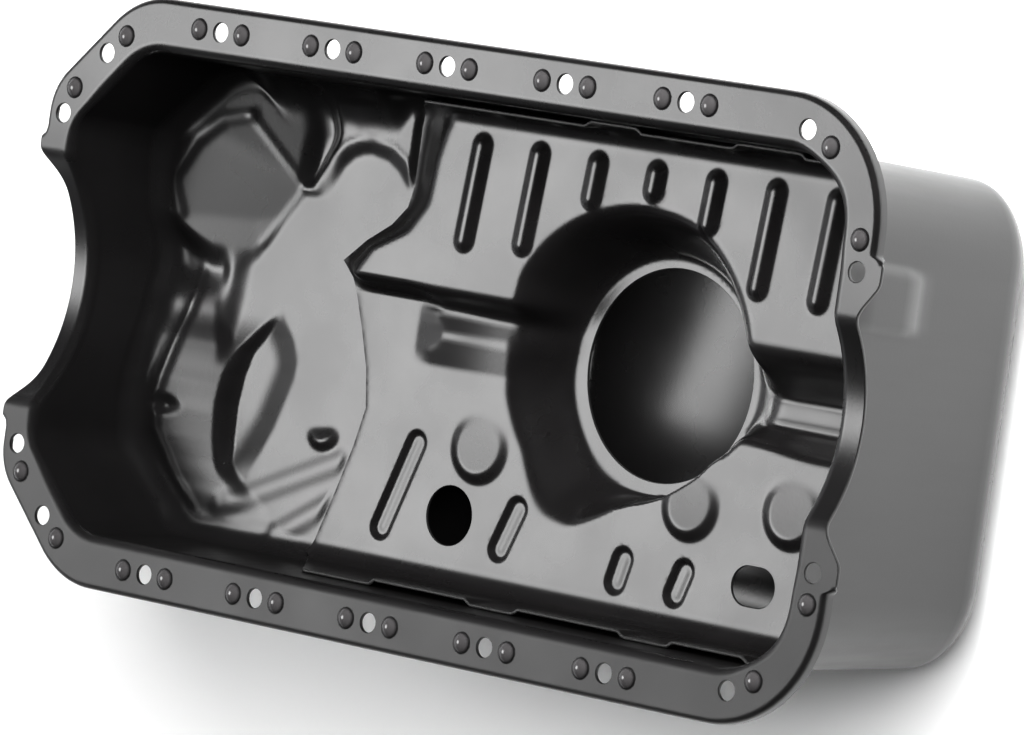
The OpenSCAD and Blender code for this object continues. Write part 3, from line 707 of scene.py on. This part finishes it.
endInset = lean(pan["endDraft"], pan["sumpDepth"], pan["sumpFillet"]) + pan["sumpFillet"]
noseInset = lean(pan["noseDraft"], pan["shallowDepth"], pan["shallowFillet"]) + pan["shallowFillet"]


def farFoot(x, y):  # the far wall's foot is rounder beside the ridge
    return pan["farRound"] * ramp(y, 66, 82) * ramp(x, -140, -122) * (1 - ramp(x, -68, -57))


def buildPan():
    sheet = newSheet()
    p, n = bay[:, :2], bay[:, 2:]
    x, y = p[:, 0], p[:, 1]
    count = len(bay)
    reach = flangeReach(bay)
    dip = archDip(x, y)
    # 1 along the turned-down lip, 0 where the flange's edge is plain
    lipPart = np.where(np.abs(x) < left - 20, 1.0, np.where(
        x > 0, ramp(np.abs(y), 54.6, 57), ramp(np.abs(y), 51.8, 54.4)))

    def ring(offset, z):
        return addPoints(sheet, np.column_stack([p + n * np.broadcast_to(offset, count)[:, None], z]))

    r = pan["lipRadius"]
    straight = pan["lip"] - r
    steps = pan["lipRings"]
    rows = []
    for k in range(steps):  # the lip's straight part, then its bend
        a = math.radians(90 * max(k - 3, 0) / (steps - 4))
        inset, drop = r * (1 - math.cos(a)), r * (1 - math.sin(a))
        if k < 3:
            drop = pan["lip"] - straight * k / 3.5
        rows.append(ring(reach - mix(2.4 * (k / steps), inset, lipPart), -dip - lipPart * drop))
    rows.append(ring(reach - mix(2.55, r + 0.3, lipPart), -dip))

    # the bend from the flange into the walls is tighter beside the bolts of the corners
    away, corner = np.abs(y), pan["cornerRadius"]
    nearBolt = np.where(x < 0, bump((away - 61) / 13) * (x < -left + 16),
                        bump((away - 62) / 14) * (x > right - 12))
    around = np.degrees(np.arctan2(away - wallY + corner, x - right + corner))
    atCorner = (x > right - 28) & (away > wallY - 28)
    nearCorner = np.where(atCorner, bump((around - 62) / 30), 0)
    bend = pan["bend"] - pan["boltTuck"] * nearBolt - pan["cornerTuck"] * nearCorner
    inner = [ring(bend + 0.25, -dip), ring(bend, -dip)]
    for k in range(1, pan["bendRings"] + 1):
        a = math.radians(90 * k / pan["bendRings"])
        inner.append(ring(bend * (1 - math.sin(a)), -dip - bend * (1 - math.cos(a))))

    # walls and fillets down to the foot of the floor
    atEnd = stepEnd + (x - stepEnd) * (1 - endInset / (right - stepEnd))
    atNose = pan["stepX"] + (x - pan["stepX"]) * (1 - noseInset / (left + pan["stepX"]))
    fx = np.where(x > stepEnd, atEnd, np.where(x < pan["stepX"], atNose, x))
    fx = fx + np.where(n[:, 0] < -0.7, pan["footWave"] * bump(y / 44), 0)
    rounder = farFoot(x, y)
    fy = y * (1 - (footInset(x) + rounder) / wallY)
    foot = np.column_stack([fx, fy])
    k = deep(x)
    fillet = mix(pan["shallowFillet"], pan["sumpFillet"], k) + rounder
    footZ = floorZ(fx, fy)
    leanIn = mix(footInset(x) + rounder, np.where(x > 0, endInset, noseInset), n[:, 0] ** 2) - fillet
    part = leanIn / (leanIn + fillet)
    z0, z1 = -dip - bend, footZ + fillet

    def wallRow(g, z, outward=0.0):
        q = mix(p, foot, np.asarray(g)[:, None]) + n * np.asarray(outward * np.ones(count))[:, None]
        return addPoints(sheet, np.column_stack([q, z]))

    for s in np.linspace(0.06, 1, pan["wallRings"]):
        z = mix(z0, z1, s)
        pad = ramp(pan["padHalf"] - np.abs(y - pan["padY"]), 0, 5.5) * ramp(z, -51, -43) * ramp(-z, 6, 14)
        inner.append(wallRow(part * s, z, np.where(n[:, 0] > 0.9, pan["padSwell"] * pad, 0)))
    for t in np.linspace(90 / pan["footRings"], 90, pan["footRings"]):
        a = math.radians(t)
        inner.append(wallRow(part + (1 - part) * (1 - math.cos(a)), z1 - fillet * math.sin(a)))
    for group in (rows, inner):
        for outer, nextRow in zip(group[:-1], group[1:]):
            bridge(sheet, outer, nextRow)

    # flange with its bolt holes and domes
    holes = []
    turn = np.arange(pan["holePoints"]) * 2 * np.pi / pan["holePoints"]

    def circle(c, radius, z):
        spot = np.column_stack([c[0] + radius * np.cos(turn), c[1] + radius * np.sin(turn)])
        return addPoints(sheet, np.column_stack([spot, flangeZ(spot[:, 0], spot[:, 1]) + z]))

    for c in boltPlaces:
        rim = circle(c, pan["boltRadius"] + 0.4, 0)
        holes.append(rim)
        bridge(sheet, rim, circle(c, pan["boltRadius"], 0))
    wide, high = pan["domeRadius"], pan["domeHeight"]
    ball = (wide**2 + high**2) / (2 * high)  # the radius of a dome's curve
    a0 = math.asin(wide / ball)
    profile = [(wide + 0.28, 0.0), (wide + 0.1, 0.1)]
    for a in np.linspace(a0 * 0.93, a0 * 0.14, 6):
        profile.append((ball * math.sin(a), high - ball * (1 - math.cos(a))))
    for c in domePlaces:
        rim = circle(c, wide + 0.5, 0)
        holes.append(rim)
        for radius, z in profile:
            nextRing = circle(c, radius, z)
            bridge(sheet, rim, nextRing)
            rim = nextRing
        tip = addPoints(sheet, [[c[0], c[1], high]])[0]
        for i, j in zip(rim, np.roll(rim, -1)):
            sheet["faces"].append([int(i), int(j), int(tip)])
    noGrid = np.array([[0.0, 0.0]])  # one point in the open bay, which fillArea drops
    fillArea(sheet, [rows[-1], inner[0]] + holes, flangeZ, noGrid, 1.0)

    # floor
    near = hexGrid(-175, -44, -88, 88, pan["floorStep"])
    mid = hexGrid(-44, -14, -88, 88, pan["midStep"])
    far = hexGrid(-12, 170, -88, 88, pan["farStep"])
    fillArea(sheet, [inner[-1]], floorZ, np.vstack([near, mid, far]), 0.9)
    return sheet


# Places of the bolt holes and of the domes beside them
rowY = wallY + 10.4
longBolts = [(k * pan["boltPitch"], s * rowY) for s in (-1, 1) for k in range(-2, 3)]
sumpCorner = [(right - 20.5, s * (rowY - 3)) for s in (-1, 1)]
sumpEnd = [(right + 9.0, s * 50.8) for s in (-1, 1)]
noseCorner = [(-left + 11.3, s * (rowY - 13.4)) for s in (-1, 1)]
noseEnd = [(-left - 6.5, s * 61.0) for s in (-1, 1)]
boltPlaces = longBolts + sumpCorner + sumpEnd + noseCorner + noseEnd


def beside(p, degrees, distance):  # mirrored for the bolts with negative y
    a = math.radians(degrees)
    return (p[0] + distance * math.cos(a), p[1] + distance * math.sin(a) * (1 if p[1] > 0 else -1))


domePlaces = [beside(p, a, 10.5) for p in longBolts for a in (0, 180)]
domePlaces += [beside(p, -24, 12.0) for p in sumpCorner] + [beside(p, 93, 10.8) for p in sumpEnd]
domePlaces += [beside(p, 39, 11.2) for p in noseCorner] + [beside(p, 67, 10.6) for p in noseEnd]

panSheet = buildPan()
panCoats = [materials["blackDipCoat"]] * 2  # the faces and the cut edges
panShell = closeSheet(panSheet, pan["sheet"], pan["edgeRound"], "pan_shell", panCoats)
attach(panShell, "root")
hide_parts("pan_body")
print("pan made:", len(panShell.data.polygons), "faces")

# Sizes of the baffle plate
baffle = {
    "sheet": 1.2,
    "gap": 0.25,
    "deck": 40.0,
    "deckStep": 11.0,
    "ring": 66.0,
    "channel": 60.0,
    "pickup": 37.8,
    "dishX": 64.0,
    "dishY": 1.0,
    "ringRadius": 41.6,
    "ribPitch": 27.2,
    "ribFirst": -14.5,
    "ribShift": 1.2,
    "ribHeight": 2.0,
    "lipTop": 17.0,
    "lipFillet": 7.0,
    "lipOff": 1.8,  # how far the lips stand off the walls between their tabs
    "lipSlant": 0.85,  # slant of the lips' cut ends
    "edgeRoll": 0.25,
    "edgeRound": 0.25,
    "step": 1.5,  # mesh size
}
lowDeck = baffle["deck"] + baffle["deckStep"]


def plateWallY(z):  # the lips' inner face beside the bay's wall
    wall = wallY - math.tan(math.radians(pan["sideDraft"])) * (-z - pan["bend"])
    return wall - baffle["gap"] - baffle["sheet"]


plateY = plateWallY(-lowDeck)
plateRight = right - math.tan(math.radians(pan["endDraft"])) * (baffle["channel"] - pan["bend"]) - 4
plateCorner = pan["cornerRadius"] - 3

# Where the decks begin behind the slope from the plate's left edge: [y, x]
creaseLine = [
    (-84, -62), (20, -64), (30, -57), (38, -41), (49, -33.3), (65, -31.6), (76, -28.5), (84, -24)]

# Foot of the step up to the high deck: [x, y]
stepLine = [
    (-40, 14), (-28, 11.5), (20, 11), (100, 8), (112, 3), (120, 0.8), (129, 0.3), (148, 0.6), (180, 0)]


def deckDepth(x, y):  # the two decks, and the channel between them at the sump's end
    k = ramp(x, 20, 100)
    hi = mix(20.0, 19.5, k)
    lo = along(stepLine, x)
    floor = mix(lowDeck, baffle["channel"], k)
    low = ramp(-y, 8.0, mix(15.5, 18.5, ramp(x, 115, 150)))
    high = mix(ramp(y, lo, hi), 1 - (1 - ramp(y, lo, hi + 2)) ** 1.3, k)  # softer towards the sump's end
    return np.where(y > lo, mix(floor, baffle["deck"], high), mix(floor, lowDeck, low))


# Rim of the dish: radius at an angle in degrees, both from the dish's middle
dishRimLine = [
    (-180, 59), (-174, 62.5), (-167, 63.5), (-157, 62), (-145, 60.5), (-137, 63), (-129, 66), (-123, 67),
    (-112, 63), (-104, 55.5), (-96, 49), (-85, 45.5), (-72, 44.5), (-52, 44.5), (-34, 46), (-18, 53),
    (-6, 60), (15, 61), (40, 62), (62, 63), (80, 61), (105, 60), (135, 60.5), (150, 60), (158, 57),
    (164, 57.5), (169, 60.5), (175, 57), (180, 59)]


def dishRim(a):
    return (along(dishRimLine, a - 2) + along(dishRimLine, a) + along(dishRimLine, a + 2)) / 3


def dishPart(x, y):  # 1 on the ring round the pick-up hole, 0 on the decks
    dx, dy = x - baffle["dishX"], y - baffle["dishY"]
    rim = np.maximum(baffle["ringRadius"] + 2.5, dishRim(np.degrees(np.arctan2(dy, dx))))
    return (1 - ramp(np.hypot(dx, dy), baffle["ringRadius"], rim)) ** 1.25


# Shapes pressed into the decks
pressed = {
    "ribFeet": [38, 40, 60, 66, 57.5, 38.5, 37.5],  # where the ribs end, along y
    "ribHalf": 5.3,
    "ribSlant": 0.075,
    "grooves": [((-34.5, -37), (-46, -69)), ((17, -53.5), (11, -68.5)),
                ((68.5, -63.5), (66.5, -71.5)), ((96.6, -63.5), (93.8, -71.8))],
    "grooveHalf": 5.0,
    "grooveDepth": 1.5,
    "grooveCrown": 0.14,
    "grooveEdge": 2.2,
    "crescents": [((-4.3, -34), 14.2), ((95.5, -40), 13.6), ((141, -36), 14.0)],  # middle and radius
    "crescentHeight": 2.4,
    "padHeight": 2.9,
    "frameHeight": 0.45,
}


def ribTop(k):
    return (baffle["ribFirst"] + baffle["ribShift"] + k * baffle["ribPitch"], wallY - 16)


def baffleRelief(x, y):
    s = pressed
    h = np.zeros_like(x)
    for k, foot in enumerate(s["ribFeet"]):
        top = ribTop(k)
        d = segmentDistance(x, y, top, (top[0] - s["ribSlant"] * (top[1] - foot), foot))
        h = np.maximum(h, baffle["ribHeight"] * ramp(s["ribHalf"] - d, 0, 4.7))
    edge = s["grooveEdge"]
    for a, b in s["grooves"]:
        d = segmentDistance(x, y, a, b)
        h = h - s["grooveDepth"] * ramp(s["grooveHalf"] - d, 0, edge)
        h = h + s["grooveCrown"] * ramp(edge - d, 0, edge)
    for c, outer in s["crescents"]:  # domes cut down on one side
        dx, dy = x - c[0], y - c[1]
        dome = s["crescentHeight"] * ramp(outer - np.hypot(dx, dy), 0, 5.2)
        toward = (-0.2 * dx - 0.98 * dy) / outer
        h = h + dome * np.clip((toward + 0.85) / 1.7, 0, 1) ** 1.2
    # a shallow pad left of the dish, with a rounded ramp at its end
    nose = np.clip((x + 41.5) / (15 - 6.5 * np.clip(np.abs(y - 3.3) / 6, 0, 1) ** 2), 0, 1)
    body = np.clip((y + 8.5) / 10.5, 0, 1) * (1 - 0.6 * np.clip((y - 4) / 6, 0, 1)) * (1 - ramp(y, 11, 14))
    h = h + s["padHeight"] * nose * body * (1 - 0.45 * ramp(x, -27, 0)) * (1 - ramp(x, 2, 10))
    # a low frame in the channel
    frameEdge = np.maximum(np.abs(y + 2.8) - 3.2, np.maximum(116 - x, x - 152))
    return h + s["frameHeight"] * (1 - ramp(frameEdge, -1.0, 1.0))


def nearShapes(points):  # where the plate's mesh is finer
    x, y = points[:, 0], points[:, 1]
    near = np.zeros(len(points), bool)
    for k, foot in enumerate(pressed["ribFeet"]):
        top = ribTop(k)
        near |= segmentDistance(x, y, top, (top[0] - 2, foot)) < 6.2
    for a, b in pressed["grooves"]:
        near |= segmentDistance(x, y, a, b) < 5.8
    for c, outer in pressed["crescents"]:
        near |= (np.hypot(x - c[0], y - c[1]) < outer + 0.8) & (y < c[1] + 6)
    dx, dy = x - baffle["dishX"], y - baffle["dishY"]
    steep = np.abs(np.degrees(np.arctan2(dy, dx)) + 65) < 45  # the steepest part of the dish
    near |= steep & (np.abs(np.hypot(dx, dy) - 44) < 4.2)
    return near


def plateZ(x, y):
    yy = np.clip(y, -plateY, plateY)
    e, c = along(edgeLine, yy), along(creaseLine, yy)
    up = np.where(yy < 12, 1.0, ramp(x, e, np.maximum(c, e + 6)))
    base = mix(lowDeck, deckDepth(x, yy), up)
    k = dishPart(x, yy)
    r = baffle["lipFillet"]
    over = np.clip(np.abs(yy) - plateY + r, 0, r * 0.999)
    side = r - np.sqrt(r * r - over * over)
    fade = 1 - ramp(over, 0, r)
    roll = baffle["edgeRoll"] * np.clip(1 - (x - e) / 1.2, 0, 1) * (yy < 12)
    return -mix(base, baffle["ring"], k) + baffleRelief(x, yy) * (1 - k) * fade + side - roll


def plateEnd(y):
    over = np.abs(y) - (plateY - plateCorner)
    cut = plateCorner - np.sqrt(np.maximum(plateCorner**2 - over**2, 0))
    return plateRight - np.where(over < 0, 0, cut)


# Tabs that reach the walls, from x to x, on the side with negative y and on the other
tabs = {-1: [(-90, -33), (31, 50), (102, 121), (158, 190)], 1: [(55, 75), (122, 149), (168, 190)]}

# Holes: x, y, radius, half the straight part of a long hole, number of points
plateHoles = [
    (baffle["dishX"] + 1.5, baffle["dishY"] + 1, baffle["pickup"], 0, 160),
    (-14.2, -60.2, 10.7, 0, 64),
    (128.2, -63.8, 7.0, 2.6, 64),
]


def tabPart(x, s):  # 1 along the tabs, 0 between them
    return np.max([ramp(x, a - 3, a) * ramp(-x, -b - 3, -b) for a, b in tabs[s]], axis=0)


def ringAt(cx, cy, radius, stretch, n):
    a = np.arange(n) * 2 * np.pi / n
    shift = np.where(np.cos(a) >= 0, stretch, -stretch)
    return np.column_stack([cx + shift + radius * np.cos(a), cy + radius * np.sin(a)])


def buildBaffle():
    sheet = newSheet()
    r = baffle["lipFillet"]
    cut = plateY - r + r * math.sin(math.radians(45))  # the plan fill ends here, half way round the fillet
    step = baffle["step"]
    ys = np.linspace(-cut, cut, int(2 * cut / step))
    corners = np.array([p[0] for p in edgeLine if abs(p[0]) < cut])
    apart = np.abs(ys[:, None] - corners).min(axis=1) > step * 0.45
    fine = np.sort(np.concatenate([ys[apart], corners]))
    leftSide = np.column_stack([along(edgeLine, fine), fine])[::-1]
    rightSide = np.column_stack([plateEnd(ys), ys])
    lowRow = np.linspace(leftSide[-1, 0], rightSide[0, 0], int(250 / step))
    topRow = np.linspace(rightSide[-1, 0], leftSide[0, 0], int(230 / step))
    low = np.column_stack([lowRow, np.full(len(lowRow), -cut)])
    top = np.column_stack([topRow, np.full(len(topRow), cut)])

    def laid(points):  # on the plate's shape
        return addPoints(sheet, np.column_stack([points, plateZ(points[:, 0], points[:, 1])]))

    loop = laid(np.vstack([low[:-1], rightSide[:-1], top[:-1], leftSide[:-1]]))
    holes = []
    for cx, cy, radius, stretch, n in plateHoles:
        rim = laid(ringAt(cx, cy, radius + 0.5, stretch, n))
        holes.append(rim)
        bridge(sheet, rim, laid(ringAt(cx, cy, radius, stretch, n)))
    coarse = hexGrid(-90, 182, -90, 90, step * 1.1)
    dense = hexGrid(-90, 182, -90, 90, step * 0.55)
    grid = np.vstack([coarse[~nearShapes(coarse)], dense[nearShapes(dense)]])
    fillArea(sheet, [loop] + holes, plateZ, grid, 1.0)

    # side lips: the rest of the fillet, then the straight part
    nLow, nRight, nTop = len(low) - 1, len(rightSide) - 1, len(top) - 1
    sides = ((-1, loop[:nLow + 1]), (1, loop[nLow + nRight:nLow + nRight + nTop + 1]))
    points = np.vstack(sheet["points"])
    for s, base in sides:
        bx = points[base][:, 0]
        floor = plateZ(bx, np.full(len(bx), s * (plateY - r)))
        levels = []
        for degrees in (55, 65, 75, 84):
            a = math.radians(degrees)
            levels.append((np.full(len(bx), plateY - r + r * math.sin(a)), floor + r * (1 - math.cos(a))))
        lipY, lipZ = levels[-1]
        for t in np.linspace(0.06, 1, 9):
            z = mix(lipZ, -baffle["lipTop"], t)
            straight = plateWallY(z) - baffle["lipOff"] * (1 - tabPart(bx, s)) * t
            levels.append((mix(lipY, straight, ramp(t, 0, 0.25)), z))
        previous = base
        cutEnd = np.clip((20 - bx) / (20 - along(edgeLine, s * plateY)), 0, 1)
        for y, z in levels:
            slant = baffle["lipSlant"] * (z - floor) * cutEnd
            row = addPoints(sheet, np.column_stack([bx + slant, s * y, z]))
            sheet["faces"] += np.column_stack([previous[1:], previous[:-1], row[:-1], row[1:]]).tolist()
            previous = row
    return sheet


baffleSheet = buildBaffle()
baffleCoats = [materials["baffleDipCoat"], materials["coatedEdge"]]
baffleShell = closeSheet(baffleSheet, baffle["sheet"], baffle["edgeRound"], "baffle_shell", baffleCoats)
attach(baffleShell, "root")
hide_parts("baffle_plate")
print("baffle made:", len(baffleShell.data.polygons), "faces")

# The drain fittings keep the frame's own meshes
fittings = {"drain_nut": "weldNutSteel", "drain_plug": "zincPlug", "sealing_washer": "copperRing"}
for nodeName, finishName in fittings.items():
    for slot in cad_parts[nodeName].material_slots:
        slot.material = materials[finishName]
print("drain fittings dressed")

# Floor, glowing panel and sky; places are in metres, the floor's height in millimetres
studio = {
    "floorZ": -126.7,
    "floorHalf": 4.0,
    "floorColour": (0.93, 0.93, 0.93, 1),
    "keyAim": (0.02, 0.02, -0.03),
    "keyTowards": (-0.654, -0.06, 0.756),
    "keyDistance": 2.0,
    "keyHalf": 0.64,  # half width of the glowing panel
    "keyEven": 0.33,  # share of it that glows evenly
    "keyGlow": 12.3,
    "skyTowards": (-0.985, 0.0, -0.17),
    "skyColour": (0.96, 0.97, 1.0, 1),
    "skyEdge": 0.55,
    "skyDark": 0.02,
    "skyGlow": 0.9,
}

# Lamps: the fill lifts the pale floor, the bounce lights the sump under the pick-up hole
lamps = {
    "fill": {"place": (1.15, 0.95, 1.65), "target": (0.1, 0, 0), "size": (2.0, 2.0), "power": 118.0,
             "inView": True},
    "bounce": {"place": (0.003, 0.011, -0.0790), "target": (0.041, -0.002, -0.1255),
               "size": (0.066, 0.020), "power": 0.036, "inGloss": True},
    "side": {"place": (0.24, 0.46, 0.3), "target": (0.22, 0.27, -0.1267), "size": (0.3, 0.3),
             "power": 6.0},
}

# The photo's camera: lens in millimetres, then the rows of its placing matrix
photoCamera = {
    "sensor": 36.0,
    "lens": 273.48,
    "reach": 20,
    "rows": ((0.74377, -0.13573, 0.65451, 1.8099),
             (0.14170, 0.98893, 0.04405, 0.1173),
             (-0.65325, 0.05998, 0.75477, 2.0300),
             (0, 0, 0, 1)),
}


def makeSquare(name, half, z, material):
    mesh = bpy.data.meshes.new(name)
    corners = [(-half, -half, z), (half, -half, z), (half, half, z), (-half, half, z)]
    mesh.from_pydata(corners, [], [(0, 1, 2, 3)])
    mesh.materials.append(material)
    return placeObject(name, mesh)


def makeSky():  # dark above, pale low down behind the shallow end
    world = bpy.data.worlds.new("softStudio")
    world.use_nodes = True
    nodes, links = world.node_tree.nodes, world.node_tree.links
    back = nodes["Background"]
    place = nodes.new("ShaderNodeTexCoord")
    facing = nodes.new("ShaderNodeVectorMath")
    facing.operation = "DOT_PRODUCT"
    facing.inputs[1].default_value = studio["skyTowards"]
    links.new(place.outputs["Generated"], facing.inputs[0])
    limits = (studio["skyEdge"], 1.0, studio["skyDark"], studio["skyGlow"])
    glow = rangeNode(world.node_tree, facing.outputs["Value"], *limits, soft=True)
    links.new(glow, back.inputs["Strength"])
    back.inputs["Color"].default_value = studio["skyColour"]
    bpy.context.scene.world = world


def makeKeyPanel():  # a soft panel that fades out towards its edge
    half = studio["keyHalf"]
    material, nodes, links = nodeMaterial("panelGlow")
    nodes.remove(nodes["Principled BSDF"])
    place = nodes.new("ShaderNodeTexCoord")
    reach = nodes.new("ShaderNodeVectorMath")
    reach.operation = "LENGTH"
    links.new(place.outputs["Object"], reach.inputs[0])
    glow = nodes.new("ShaderNodeEmission")
    limits = (half * studio["keyEven"], half, studio["keyGlow"], 0.0)
    fade = rangeNode(material.node_tree, reach.outputs["Value"], *limits, soft=True)
    links.new(fade, glow.inputs["Strength"])
    links.new(glow.outputs[0], nodes["Material Output"].inputs["Surface"])
    panel = makeSquare("key_panel", half, 0, material)
    aim, towards = Vector(studio["keyAim"]), Vector(studio["keyTowards"]).normalized()
    panel.location = aim + towards * studio["keyDistance"]
    panel.rotation_euler = (-towards).to_track_quat("-Z", "Y").to_euler()
    panel.visible_camera = False


def makeFloor():
    material, nodes = nodeMaterial("paleFloor")[:2]
    shader = nodes["Principled BSDF"]
    shader.inputs["Base Color"].default_value = studio["floorColour"]
    shader.inputs["Roughness"].default_value = 0.8
    shader.inputs["Specular IOR Level"].default_value = 0.2
    floor = makeSquare("studio_floor", studio["floorHalf"], studio["floorZ"] * mm, material)


def makeLamp(name, place, target, size, power, inGloss=False, inView=False):
    light = bpy.data.lights.new(name, "AREA")
    light.shape = "RECTANGLE"
    light.size, light.size_y = size
    light.energy = power
    lamp = placeObject(name, light)
    lamp.location = place
    lamp.rotation_euler = (Vector(target) - Vector(place)).to_track_quat("-Z", "Y").to_euler()
    lamp.visible_glossy = inGloss
    lamp.visible_camera = inView


def makeCamera():
    lens = bpy.data.cameras.new("photoView")
    lens.sensor_width = photoCamera["sensor"]
    lens.lens = photoCamera["lens"]
    lens.clip_end = photoCamera["reach"]
    viewer = placeObject("photoView", lens)
    viewer.matrix_world = Matrix(photoCamera["rows"])
    bpy.context.scene.camera = viewer


makeFloor()
makeSky()
makeKeyPanel()
for lampName, values in lamps.items():
    makeLamp(lampName, **values)
makeCamera()
bpy.context.scene.view_settings.view_transform = "Standard"
print("studio made")
